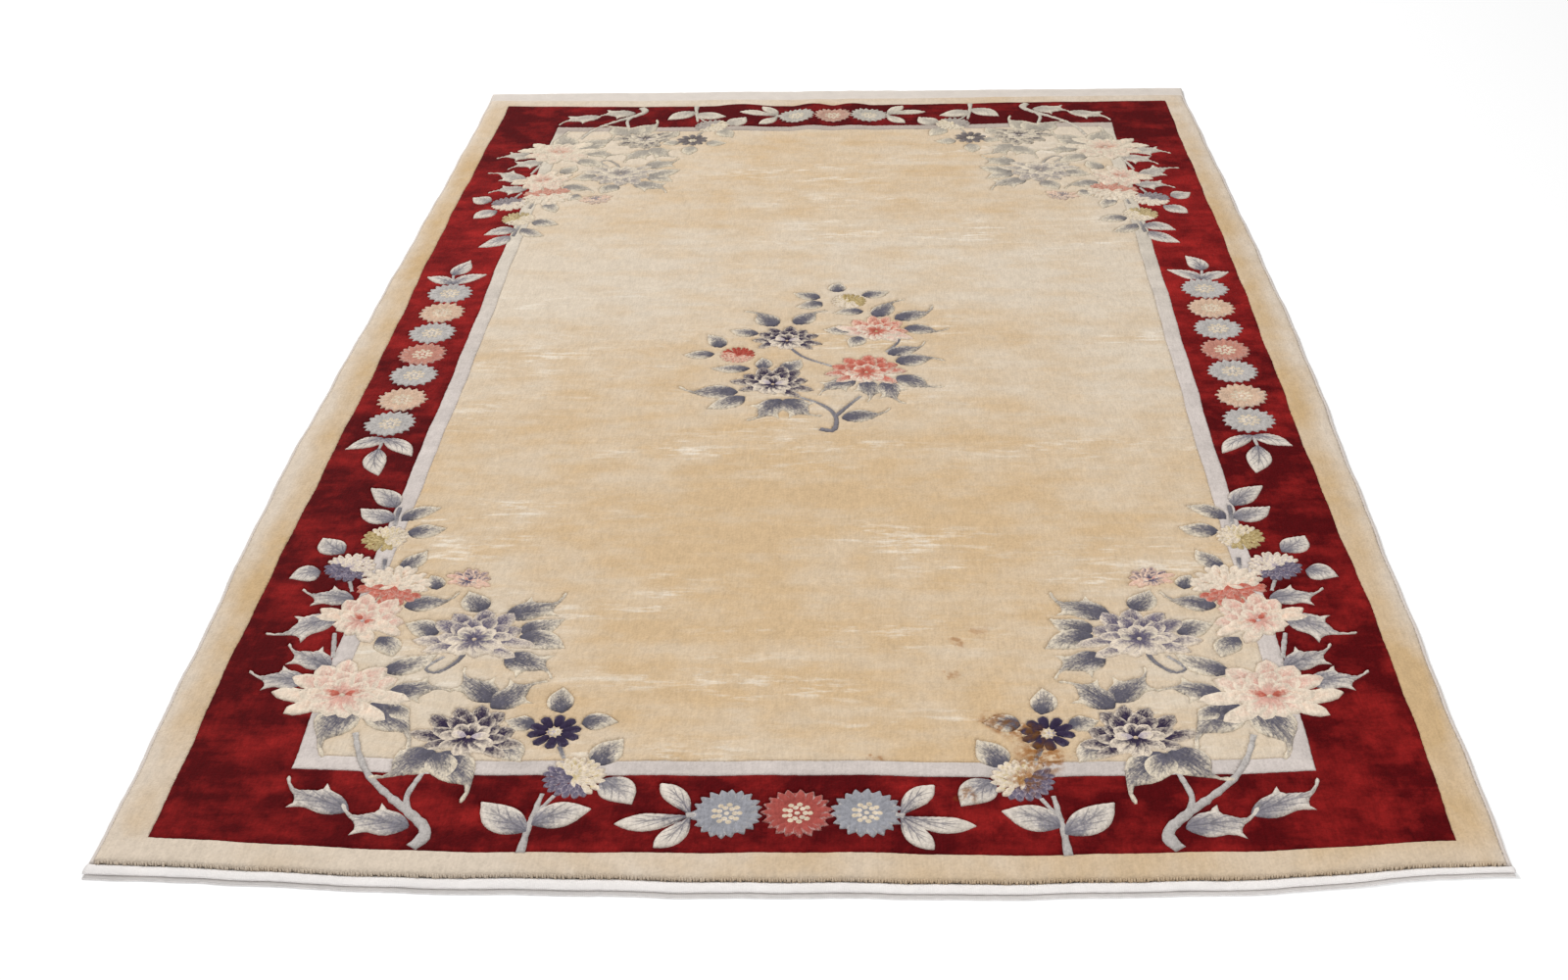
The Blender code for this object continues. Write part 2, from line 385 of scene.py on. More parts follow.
# Garlands on the crimson border, in millimetres from the plan's centre
ROSETTE_RADIUS = 50
END_GARLAND_Y = 1373.5
END_ROSETTES = ((-92.5, "garland_grey"), (2.5, "garland_rose"), (96, "garland_grey"))
END_TRIO = ((-140, -1377.5), ((-187.5, -1312.5), (-242.5, -1395), (-185, -1442.5)), 31)
SIDE_GARLAND_X = 787
SIDE_ROSETTES = (
    (286, "rosette_grey"), (191.5, "rosette_tan"), (96, "rosette_grey"), (1, "rosette_rose"),
    (-91, "rosette_grey"), (-192.5, "rosette_tan"), (-288.5, "rosette_grey"),
)
SIDE_TRIOS = (
    ((790, 332.5), ((723, 381), (851, 368)), (796, 377.5), (772, 456)),
    ((785, -346), ((721, -410), (848.5, -387.5)), (787, -384), (766, -481)),
)

# How pale the field is in bands, by place along the rug: partly its dye lots, partly painted sheen of pile
# laid different ways
DYE_LOT_AND_SHEEN_BANDS = (
    (-1.30, 0.34), (-0.95, 0.30), (-0.68, 0.16), (-0.42, 0.34), (-0.30, 0.28), (-0.15, 0.74), (0.02, 0.26),
    (0.18, 0.92), (0.48, 0.82), (0.66, 0.56), (0.92, 0.46), (1.30, 0.44),
)

# Painted sheen: the back of the pattern and of the grey line is painted paler toward a pale tone, standing in
# for the washed-out sheen of the silky pile toward the back. Where this starts and is full, by place along
# the rug, how much, and to what tone
SHEEN_WASH_SPAN = (0.30, 1.25)
SHEEN_WASH_SHARE = 0.50
SHEEN_WASH_TONE = (202, 191, 168)
PALED_LINE_SPAN = (-0.30, 0.80)
PALED_LINE_SHARE = 0.62
BACK_LINE_SPAN = (1.205, 1.235)
BACK_LINE_TONE = (176, 163, 152)
BACK_WEB_TONE = (226, 216, 206)

SCUFF_TONE = (231, 222, 208)
FOUNDATION_TONE = (206, 192, 168)

# Size of a knot, mean of the nap's noises, and width of a rib and a thread in each cotton cloth
KNOT_SIZE = 0.0034
NAP_MEAN = 1.90
WEB_WEAVE = (0.0014, 0.0026)
FOUNDATION_WEAVE = (0.0030, 0.0030)

# Spilt stains: place on the floor, radius and strength
STAINS = (
    (0.282, -1.207, 0.030, 0.8),
    (0.318, -1.232, 0.034, 0.9),
    (0.338, -1.285, 0.046, 1.0),
    (0.316, -1.335, 0.036, 0.9),
    (0.232, -1.368, 0.020, 0.8),
    (0.231, -1.012, 0.016, 0.5),
    (0.220, -1.096, 0.014, 0.45),
    (0.112, -1.287, 0.010, 0.8),
    (0.268, -0.985, 0.020, 0.3),
)
STAIN_WOBBLE = 0.040
STAIN_FILM = (186, 128, 62)
STAIN_BROWN = (146, 96, 42)

# Studio: floor, world light, and each lamp's name, place, size and power
FLOOR_SIZE = 24.0
FLOOR_TONE = (0.97, 0.97, 0.97, 1.0)
WORLD_LIGHT = 0.53
LAMPS = (("key", (-4.4, 5.2, 7.2), 2.0, 610.0), ("front", (1.5, -3.4, 3.4), 2.6, 60.0))

# Camera, from the perspective of the photograph
CAMERA_PLACE = (0.107, -3.353, 1.670)
CAMERA_TILT = 59.35
CAMERA_TURN = 3.15
CAMERA_ROLL = -1.72
FRAME_WIDTH_PX = 1600
FOCAL_PX = 1925
SENSOR_WIDTH = 36.0

Shape = namedtuple("Shape", "outline spine breadth root tip veins reach piece")


def linear(colour):
    """A colour given as it shows, 0 to 255, as the shaders need it."""
    shares = [channel / 255 for channel in colour]
    return tuple(s / 12.92 if s <= 0.04045 else ((s + 0.055) / 1.055) ** 2.4 for s in shares)


def size_setting(name, description, default, low, high):
    """A size that can be set in the sidebar, in metres."""
    return FloatProperty(
        name=name, description=description, default=default, min=low, max=high, unit="LENGTH",
    )


def colour_setting(name, description, shown):
    """A colour that can be set in the sidebar, from how it shows, 0 to 255."""
    return FloatVectorProperty(
        name=name, description=description, default=linear(shown), min=0.0, max=1.0, subtype="COLOR",
    )


class RugSizes(bpy.types.PropertyGroup):
    pile_height: size_setting("Pile Height", "Height of the clipped pile off the floor", 0.013, 0.006, 0.03)
    motif_groove: size_setting(
        "Motif Groove", "Depth of the groove carved round each motif", 0.0019, 0.0, 0.006,
    )
    petal_groove: size_setting(
        "Petal Groove", "Depth of the groove carved between petals", 0.0014, 0.0, 0.006,
    )
    groove_half_width: size_setting(
        "Groove Half Width", "How far a groove's bevel reaches to either side", 0.0022, 0.001, 0.01,
    )
    crown: size_setting(
        "Motif Crown", "How far the middle of a leaf or petal stands above the ground", 0.0010, 0.0, 0.004,
    )


class RugColours(bpy.types.PropertyGroup):
    field_gold: colour_setting("Field Gold", "The deeper dye lots of the field", (200, 172, 135))
    field_pale: colour_setting("Field Pale", "The paler dye lots of the field", (209, 194, 174))
    band_gold: colour_setting("Band Gold", "Deeper patches of the outer band", (193, 164, 124))
    band_pale: colour_setting("Band Pale", "Paler patches of the outer band", (207, 192, 174))
    crimson_dark: colour_setting("Crimson Dark", "Darker patches of the crimson border", (78, 5, 9))
    crimson_light: colour_setting("Crimson Light", "Lighter patches of the crimson border", (149, 31, 29))
    grey_line: colour_setting("Grey Line", "The grey line inside the crimson border", (198, 188, 182))
    web: colour_setting("Web", "Cotton of the end webs", (247, 242, 239))
    cord: colour_setting("Cord", "Yarn that overcasts the long sides", (214, 204, 196))


def along_table(rows, columns, name, where):
    """One column of a table at places between its rows, on a smooth curve through them."""
    values = np.array([row[columns.index(name)] for row in rows])
    last = len(rows) - 1
    place = np.clip((np.asarray(where, float) - rows[0][0]) / (rows[1][0] - rows[0][0]), 0.0, last)
    i = np.minimum(place.astype(int), last - 1)
    t = place - i
    before, start, end, after = (values[np.clip(i + k, 0, last)] for k in (-1, 0, 1, 2))
    rise, fall = (end - before) / 2, (after - start) / 2
    return (
        start
        + rise * t
        + (3 * (end - start) - 2 * rise - fall) * t ** 2
        + (2 * (start - end) + rise + fall) * t ** 3
    )


def hand_waver(where, phase):
    """The weaver's small unevenness along a line, a millimetre or two."""
    return 0.0011 * np.sin(where * 17.0 + phase) + 0.0007 * np.sin(where * 43.0 + 2.3 * phase)


def spread(across, half, band_off, edge_off):
    """Where points lie across the rug, once the band line and the edge have bowed by these offsets."""
    out = np.abs(across)
    line = half - OUTER_BAND
    past = np.minimum((out - line) / OUTER_BAND, 1.0)
    off = np.where(out <= line, band_off * out / line, band_off + (edge_off - band_off) * past)
    return np.copysign(out + off, across)


def bowed(rows, columns, kind, low_side, high_side, along, across, phases):
    """How far a line lies outside the plan: one side's column where across is negative, else the other's."""
    low = along_table(rows, columns, kind + low_side, along) + hand_waver(along, phases[0])
    high = along_table(rows, columns, kind + high_side, along) + hand_waver(along, phases[1])
    return np.where(across < 0, low, high)


def lay(x, y):
    """Turns places in the plan into their places on the floor, with the bowed sides and ends."""
    x, y = np.asarray(x, float), np.asarray(y, float)
    band_x = bowed(SIDE_BOWS, SIDE_COLUMNS, "band_", "left", "right", y, x, (1.0, 4.0))
    edge_x = bowed(SIDE_BOWS, SIDE_COLUMNS, "edge_", "left", "right", y, x, (2.0, 5.0))
    band_y = bowed(END_BOWS, END_COLUMNS, "band_", "front", "back", x, y, (3.0, 6.0))
    edge_y = bowed(END_BOWS, END_COLUMNS, "edge_", "front", "back", x, y, (3.5, 6.5))
    return np.stack([
        spread(x, PILE_HALF_WIDTH, band_x, edge_x) + PLAN_SHIFT[0],
        spread(y, PILE_HALF_LENGTH, band_y, edge_y) + PLAN_SHIFT[1],
    ], axis=-1)


def ripple(x, y):
    """Height of the cloth off the floor at places in the plan."""
    height = np.zeros(np.broadcast(x, y).shape)
    for place, half_width, top, reach in RIPPLES:
        aside = np.clip((x - place) / half_width, -1.0, 1.0)
        inward = 1.0 - np.clip((y - PILE_HALF_LENGTH + reach) / reach, 0.0, 1.0)
        outward = np.clip((y - PILE_HALF_LENGTH + OUTER_BAND) / OUTER_BAND, 0.0, 1.0)
        height = height + top * (1 - aside ** 2) ** 2 * (1 - inward ** 2) ** 2 * (1 - RIM_EASE * outward)
    return height


def band_rings():
    """Half width and half length of each band line, from the outside in."""
    inward = 0.0
    rings = []
    for width in (OUTER_BAND, CRIMSON_BAND, GREY_BAND):
        inward += width
        rings.append((PILE_HALF_WIDTH - inward, PILE_HALF_LENGTH - inward))
    return rings


def smooth_path(points, step=0.004):
    """A smooth curve through points, as a polyline with a point about every step."""
    points = np.asarray(points, float)
    padded = np.vstack([2 * points[0] - points[1], points, 2 * points[-1] - points[-2]])
    path = [points[0]]
    for k in range(1, len(padded) - 2):
        before, start, end, after = padded[k - 1:k + 3]
        count = max(2, round(np.linalg.norm(end - start) / step))
        for i in range(1, count + 1):
            t = i / count
            path.append(0.5 * (
                2 * start
                + (end - before) * t
                + (2 * before - 5 * start + 4 * end - after) * t ** 2
                + (3 * start - before - 3 * end + after) * t ** 3
            ))
    return np.array(path)


def blade(spine, left, right=None):
    """An outline about a spine. Rows give share along it and half width, for its left side and its right."""
    steps = np.linalg.norm(np.diff(spine, axis=0), axis=1)
    run = np.concatenate([[0.0], np.cumsum(steps)]) / steps.sum()
    sides = []
    for rows, sign in ((left, 1), (right or left, -1)):
        shares, halves = np.array(rows).T
        centre, ahead, behind = (
            np.stack([np.interp(np.clip(shares + off, 0, 1), run, spine[:, axis]) for axis in (0, 1)], axis=1)
            for off in (0.0, 0.02, -0.02)
        )
        way = (ahead - behind) / np.linalg.norm(ahead - behind, axis=1)[:, None]
        aside = np.stack([-way[:, 1], way[:, 0]], axis=1)
        sides.append(centre + aside * sign * halves[:, None])
    return np.vstack([sides[0], sides[1][::-1]])


def swelling(width, peak, fullness, steps, least=0.0):
    """Half widths of a leaf or petal that is widest at peak. A low fullness makes it blunt."""
    rows = []
    for i in range(steps + 1):
        share = i / steps
        rise = (share / peak) ** (fullness * peak)
        fall = ((1 - share) / (1 - peak)) ** (fullness * (1 - peak))
        rows.append((share, max(width / 2 * rise * fall, least)))
    return rows


# Sides of lobed and threadlike leaves: share along the leaf, and half width
LOBED_LEFT = (
    (0.0, 0.10), (0.05, 0.44), (0.12, 0.76), (0.21, 0.98), (0.30, 1.04), (0.36, 1.10), (0.46, 1.56),
    (0.45, 1.02), (0.49, 0.72), (0.56, 0.58), (0.62, 0.44), (0.68, 0.25), (0.76, 0.13), (0.88, 0.09),
    (0.96, 0.13), (1.0, 0.04),
)
LOBED_RIGHT = (
    (0.0, 0.10), (0.05, 0.40), (0.12, 0.70), (0.20, 0.90), (0.29, 0.98), (0.37, 0.94), (0.45, 0.90),
    (0.52, 0.98), (0.63, 1.38), (0.61, 0.86), (0.63, 0.54), (0.68, 0.27), (0.76, 0.13), (0.88, 0.09),
    (0.96, 0.13), (1.0, 0.04),
)
THREAD_SIDE = (
    (0.0, 0.14), (0.07, 0.56), (0.18, 0.90), (0.30, 1.04), (0.42, 0.94), (0.52, 0.70), (0.60, 0.42),
    (0.68, 0.18), (0.82, 0.10), (0.94, 0.13), (1.0, 0.05),
)


def heading(angle):
    """A unit vector at an angle in radians."""
    return np.array([math.cos(angle), math.sin(angle)])


class Pattern:
    """Collects the shapes of the motifs, back ones first, with the small unevenness of handwork."""

    def __init__(self):
        self.shapes = []
        self.piece = ""
        self.place = None
        self.hand = random.Random(17)

    def start(self, piece, place, seed):
        self.piece = piece
        self.place = place
        self.hand = random.Random(seed)

    def add(self, outline, spine, breadth, root, tip, veins=0.0, reach=0.5):
        jitter = np.array([[self.hand.gauss(0, 0.00022) for _ in (0, 1)] for _ in outline])
        placed = self.place(np.asarray(outline) + jitter)
        tones = linear(YARN[root]), linear(YARN[tip])
        spine = self.place(np.asarray(spine))
        self.shapes.append(Shape(placed, spine, breadth, *tones, veins, reach, self.piece))

    def leaf(self, form, base, tip, width):
        base, tip = np.array(base) * MM, np.array(tip) * MM
        way = tip - base
        length = np.linalg.norm(way)
        aside = np.array([-way[1], way[0]]) / length
        sign = self.hand.choice((-1, 1))
        width *= MM * LEAF_FULLNESS * self.hand.uniform(0.94, 1.06)
        if form == "plain":
            bend = sign * length * self.hand.uniform(0.03, 0.09)
            spine = smooth_path([base, base + way * 0.5 + aside * bend, tip])
            outline = blade(spine, swelling(width, self.hand.uniform(0.38, 0.46), 1.9, 11, 0.0006))
        elif form == "spoon":
            bend = sign * length * self.hand.uniform(0.02, 0.07)
            spine = smooth_path([base, base + way * 0.5 + aside * bend, tip])
            outline = blade(spine, swelling(width, GARLAND_LEAF_PEAK, 2.2, 11, 0.0012))
        elif form == "lobed":
            curl = sign * length * self.hand.uniform(0.05, 0.09)
            spine = smooth_path([
                base, base + way * 0.35 - aside * curl * 0.5, base + way * 0.72 - aside * curl,
                base + way * 0.90 - aside * curl * 0.2, tip + aside * curl,
            ])
            first, second = (LOBED_LEFT, LOBED_RIGHT) if sign > 0 else (LOBED_RIGHT, LOBED_LEFT)
            sides = ([(share, half * width * LOBED_HALF) for share, half in side] for side in (first, second))
            outline = blade(spine, *sides)
        else:
            curl = sign * length * self.hand.uniform(0.08, 0.13)
            spine = smooth_path([
                base, base + way * 0.4 - aside * curl * 0.5, base + way * 0.75 - aside * curl,
                tip + aside * curl * 0.6,
            ])
            outline = blade(spine, [(share, half * width / 2) for share, half in THREAD_SIDE])
        middle = self.place(np.array([base + way * 0.45]))[0]
        ground = "border" if ground_of(np.array([middle]))[0] == 1 else "field"
        if self.piece.startswith("garland"):
            ground = "garland"
        root, tip_tone, veins, reach = LEAF_TONES[ground]
        self.add(outline, spine, width, root, tip_tone, veins, reach)

    def stem(self, wide, narrow, points):
        path = smooth_path(np.array(points) * MM)
        steps = max(4, len(path) // 2)
        halves = []
        for i in range(steps + 1):
            share = i / steps
            half = (narrow + (wide - narrow) * (1 - share) ** 2) * MM / 2 * self.hand.uniform(0.82, 1.14)
            halves.append((share, half))
        middle = self.place(path[:1])[0]
        pale = ground_of(np.array([middle]))[0] < 2
        tone = "stem_grey" if pale else "slate"
        self.add(blade(path, halves), path, wide * MM, tone, "pale_grey", 0.0, 0.8)

    def petal(self, base, way, reach, width, tones, peak=0.60, fullness=1.15, steps=8):
        """One petal from its base, along a unit vector."""
        side = np.array([-way[1], way[0]])
        bend = reach * self.hand.uniform(-0.07, 0.07)
        spine = smooth_path([base, base + way * reach * 0.5 + side * bend, base + way * reach])
        outline = blade(spine, swelling(width, peak, fullness, steps, 0.0008))
        self.add(outline, spine, width, tones[0], tones[1], 0.0, tones[2])

    def peony(self, tones, centre, radius, opens):
        centre, radius = np.array(centre) * MM, radius * MM
        seat = centre - heading(math.radians(opens)) * radius * PEONY_SEAT
        for petals, low, high, reach, breadth, part in PEONY_RINGS:
            for k in range(petals):
                fan = low + (high - low) * k / (petals - 1)
                way = heading(math.radians(opens + fan + self.hand.uniform(-6, 6)))
                length = radius * reach * self.hand.uniform(0.92, 1.08)
                width = radius * breadth * self.hand.uniform(0.92, 1.1)
                foot = seat + way * radius * 0.05
                self.petal(foot, way, length, width, PEONY_TONES[tones][part], 0.58, 1.3)

    def chrysanthemum(self, tones, centre, radius, opens):
        centre, radius = np.array(centre) * MM, radius * MM
        dull, lit = CHRYSANTHEMUM_TONES[tones]
        light = math.radians(opens)
        for petals, reach, breadth in CHRYSANTHEMUM_RINGS:
            turn = self.hand.uniform(0, math.tau)
            for k in range(petals):
                angle = turn + math.tau * k / petals + self.hand.uniform(-0.06, 0.06)
                way = heading(angle)
                toward = math.cos(angle - light) * reach + 0.15
                length = radius * 0.42 * self.hand.uniform(0.85, 1.15)
                start = centre + way * max(radius * reach - length, 0.0)
                self.petal(start, way, length, radius * breadth, lit if toward > 0 else dull, 0.52, 1.25, 6)

    def daisy(self, tones, centre, radius, opens):
        centre, radius = np.array(centre) * MM, radius * MM
        for k in range(DAISY_PETALS):
            way = heading(math.tau * k / DAISY_PETALS + 0.2 + math.radians(opens))
            foot = centre + way * radius * 0.26
            self.petal(foot, way, radius * 0.74, radius * 0.40, (tones, "violet", 0.95), 0.64, 0.7)
        self.disc(centre, radius * 0.26, ("lilac", "mist"), 10)
        self.bumps(centre, radius * 0.15, 5, radius * 0.08, ("straw", "cream_white"))

    def disc(self, centre, radius, tones, sides):
        turn = self.hand.uniform(0, 1)
        ring = [centre + radius * heading(turn + math.tau * k / sides) for k in range(sides)]
        across = np.array([radius, 0.0])
        self.add(ring, [centre - across, centre + across], radius * 2, tones[0], tones[1])

    def bumps(self, centre, radius, count, size, tones):
        for k in range(count):
            self.disc(centre + radius * heading(math.tau * k / count), size, tones, 7)

    def rosette(self, centre, tone):
        """A round bloom of pointed rays about a dotted cream heart, as it stands on the border."""
        centre, radius = np.array(centre) * MM, ROSETTE_RADIUS * MM
        rays = self.hand.choice((18, 19, 20))
        turn = self.hand.uniform(0, 1)
        self.disc(centre, radius * 0.84, (tone, tone), 2 * rays)
        for k in range(rays):
            way = heading(turn + math.tau * k / rays + self.hand.uniform(-0.04, 0.04))
            length = radius * self.hand.uniform(0.50, 0.55)
            foot = centre + way * radius * 0.46
            self.petal(foot, way, length, radius * 0.31, (tone, "pale_grey", 0.96), 0.42, 1.5, 6)
        self.disc(centre, radius * 0.32, (tone, tone), 14)
        self.bumps(centre, radius * 0.35, 9, radius * 0.085, ("heart", "heart"))
        self.bumps(centre, radius * 0.22, 7, radius * 0.085, ("heart", "cream_white"))
        self.disc(centre, radius * 0.08, ("cream_white", "cream_white"), 7)

    def blooms(self, rows):
        make = {"peony": self.peony, "chrysanthemum": self.chrysanthemum, "daisy": self.daisy}
        for kind, tones, u, v, radius, opens in rows:
            make[kind](tones, (u, v), radius, opens)

    def spray(self, stems, leaves, blooms):
        for wide, narrow, points in stems:
            self.stem(wide, narrow, points)
        for form, base_u, base_v, tip_u, tip_v, width in leaves:
            self.leaf(form, (base_u, base_v), (tip_u, tip_v), width)
        self.blooms(blooms)


def ground_of(places):
    """Number of the ground that lies under each place in the plan: outer band, crimson, grey or field."""
    out = np.abs(places)
    found = np.zeros(len(places), int)
    for half_width, half_length in band_rings():
        found += (out[:, 0] < half_width) & (out[:, 1] < half_length)
    return found


def motif_shapes():
    """Every shape of the pattern, back ones first."""
    pattern = Pattern()
    for end, end_sign in (("front", -1), ("back", 1)):
        for side, side_sign in (("left", -1), ("right", 1)):

            def corner(points, sx=side_sign, sy=end_sign):
                x, y = PILE_HALF_WIDTH - points[:, 0], PILE_HALF_LENGTH - points[:, 1]
                return np.stack([sx * x, sy * y], axis=1)

            pattern.start(f"spray_{end}_{side}", corner, 31)
            pattern.spray(SPRAY_STEMS, SPRAY_LEAVES, SPRAY_BLOOMS)
    pattern.start("spray_middle", lambda points: points, 47)
    pattern.spray(MIDDLE_STEMS, MIDDLE_LEAVES, MIDDLE_BLOOMS)
    for end, sign in (("front", 1), ("back", -1)):
        pattern.start(f"garland_{end}", lambda points, s=sign: points * np.array([1, s]), 53)
        for x, tone in END_ROSETTES:
            pattern.rosette((x, -END_GARLAND_Y), tone)
        base, tips, width = END_TRIO
        for mirror in (1, -1):
            for tip in tips:
                pattern.leaf("spoon", (base[0] * mirror, base[1]), (tip[0] * mirror, tip[1]), width)
            pattern.stem(12, 8, ((base[0] * mirror * 1.05, base[1]), (base[0] * mirror * 0.96, base[1] + 3)))
    for side, sign in (("left", -1), ("right", 1)):
        pattern.start(f"garland_{side}", lambda points, s=sign: points * np.array([s, 1]), 61 + sign)
        for base, tips, knee, end_tip in SIDE_TRIOS:
            pattern.stem(8, 6, (base, knee))
            for tip in tips:
                pattern.leaf("plain", base, tip, 34)
            pattern.leaf("plain", knee, end_tip, 38)
        for y, tone in SIDE_ROSETTES:
            pattern.rosette((SIDE_GARLAND_X, y), tone)
    return pattern.shapes


def inside(places, outline):
    """Whether each place lies inside a closed outline."""
    start, end = outline, np.roll(outline, -1, axis=0)
    x, y = places[:, :1], places[:, 1:]
    crosses = (start[:, 1] > y) != (end[:, 1] > y)
    rise = np.where(end[:, 1] == start[:, 1], 1.0, end[:, 1] - start[:, 1])
    reach = start[:, 0] + (y - start[:, 1]) / rise * (end[:, 0] - start[:, 0])
    return (crosses & (x < reach)).sum(axis=1) % 2 == 1


def owners(places, shapes):
    """Number of what shows at each place: a ground, or the front shape that covers it."""
    found = ground_of(places)
    order = np.argsort(places[:, 0])
    sorted_x = places[order, 0]
    for number, shape in enumerate(shapes):
        low, high = shape.outline.min(axis=0), shape.outline.max(axis=0)
        span = order[np.searchsorted(sorted_x, low[0]):np.searchsorted(sorted_x, high[0])]
        near = span[(places[span, 1] > low[1]) & (places[span, 1] < high[1])]
        if len(near):
            found[near[inside(places[near], shape.outline)]] = len(GROUNDS) + number
    return found


def rectangle(half_width, half_length, step, jitter, hand):
    """A closed ring of points round a band line, a little uneven, with its corners sharp."""
    corners = [(-half_width, -half_length), (half_width, -half_length), (half_width, half_length),
               (-half_width, half_length)]
    ring = []
    for a, b in zip(corners, corners[1:] + corners[:1]):
        a, b = np.array(a), np.array(b)
        count = round(np.linalg.norm(b - a) / step)
        aside = np.array([b[1] - a[1], a[0] - b[0]]) / np.linalg.norm(b - a)
        for i in range(count):
            uneven = hand.uniform(-jitter, jitter) if i else 0.0
            ring.append(a + (b - a) * i / count + aside * uneven)
    return np.array(ring)


def hexagonal(step):
    """Evenly spread places over the pile, with a little scatter."""
    scatter = np.random.default_rng(5)
    rows = np.arange(-PILE_HALF_LENGTH + step, PILE_HALF_LENGTH - step / 2, step * 0.866)
    columns = np.arange(-PILE_HALF_WIDTH + step, PILE_HALF_WIDTH - step, step)
    x, y = np.meshgrid(columns, rows)
    x = x + (np.arange(len(rows)) % 2)[:, None] * step / 2
    places = np.stack([x.ravel(), y.ravel()], axis=1)
    return places + scatter.uniform(-0.13 * step, 0.13 * step, places.shape)


def tree_of(places):
    tree = KDTree(len(places))
    for number, (x, y) in enumerate(places):
        tree.insert((x, y, 0.0), number)
    tree.balance()
    return tree


def distances(tree, places):
    """Distance from each place to the nearest point of a tree."""
    return np.array([tree.find((x, y, 0.0))[2] for x, y in places])


def cut_lines(shapes):
    """The lines that the pile is cut along, with their hidden parts left out: points and edges."""
    hand = random.Random(3)
    loops = [(rectangle(PILE_HALF_WIDTH, PILE_HALF_LENGTH, LINE_STEP, 0.0, hand), len(shapes) + len(GROUNDS))]
    for half_width, half_length in band_rings():
        loops.append((rectangle(half_width, half_length, LINE_STEP, LINE_JITTER, hand), len(GROUNDS) - 1))
    loops += [(shape.outline, len(GROUNDS) + number) for number, shape in enumerate(shapes)]
    starts = np.vstack([loop for loop, _ in loops])
    ends = np.vstack([np.roll(loop, -1, axis=0) for loop, _ in loops])
    rank = np.concatenate([np.full(len(loop), owner) for loop, owner in loops])
    first = np.concatenate([[0], np.cumsum([len(loop) for loop, _ in loops])])
    following = np.arange(len(starts)) + 1
    following[first[1:] - 1] = first[:-1]
    at_start = owners(starts, shapes) > rank
    at_middle = owners((starts + ends) / 2, shapes) > rank
    shown = ~(at_start & at_middle & at_start[following])
    used = np.zeros(len(starts), bool)
    used[shown] = True
    used[following[shown]] = True
    number = np.cumsum(used) - 1
    edges = np.stack([number[np.arange(len(starts))[shown]], number[following[shown]]], axis=1)
    return starts[used], edges


def thinned(places, cell):
    """One place for each square cell."""
    _, keep = np.unique(np.round(places / cell).astype(int), axis=0, return_index=True)
    return places[np.sort(keep)]


def cut_net(shapes):
    """Triangles over the pile that follow every cut: places, triangles, and what each belongs to."""
    line_points, edges = cut_lines(shapes)
    a, b = line_points[edges[:, 0]], line_points[edges[:, 1]]
    middles = (a + b) / 2
    lines = tree_of(np.vstack([line_points, middles]))
    way = (b - a) / np.maximum(np.linalg.norm(b - a, axis=1), 1e-9)[:, None]
    aside = np.stack([-way[:, 1], way[:, 0]], axis=1) * SHOULDER
    shoulders = np.vstack([middles + aside, middles - aside])
    rim = np.array([PILE_HALF_WIDTH, PILE_HALF_LENGTH]) - 0.001
    shoulders = shoulders[(np.abs(shoulders) < rim).all(axis=1)]
    shoulders = thinned(shoulders[distances(lines, shoulders) > SHOULDER * 0.82], SHOULDER_CELL)
    near = tree_of(np.vstack([line_points, middles, shoulders]))
    fine, plain = hexagonal(FINE_STEP), hexagonal(PLAIN_STEP)
    on_motif = owners(fine, shapes) >= len(GROUNDS)
    from_line = distances(lines, fine)
    fine = fine[(on_motif | (from_line < FINE_REACH)) & (distances(near, fine) > FINE_STEP * 0.5)]
    plain = plain[(owners(plain, shapes) < len(GROUNDS)) & (distances(lines, plain) > FINE_REACH)]
    places = np.vstack([line_points, shoulders, fine, plain])
    made = delaunay_2d_cdt([Vector(p) / MM for p in places], [tuple(map(int, e)) for e in edges], [], 0,
                           CUT_EPSILON / MM)
    net = np.array([tuple(p) for p in made[0]]) * MM
    triangles = np.array(made[2])
    flat = triangle_area(net, triangles)
    triangles = np.where((flat < 0)[:, None], triangles[:, ::-1], triangles)
    triangles = triangles[np.abs(flat) > 1e-12]
    centres = net[triangles].mean(axis=1)
    return net, triangles, owners(centres, shapes)


def triangle_area(net, triangles):
    p, q, r = (net[triangles[:, k]] for k in (0, 1, 2))
    return ((q[:, 0] - p[:, 0]) * (r[:, 1] - p[:, 1]) - (q[:, 1] - p[:, 1]) * (r[:, 0] - p[:, 0])) / 2


def net_edges(triangles):
    """Each directed edge of the net with the number of its triangle."""
    table = {}
    for number, (p, q, r) in enumerate(triangles.tolist()):
        table[p, q] = number
        table[q, r] = number
        table[r, p] = number
    return table


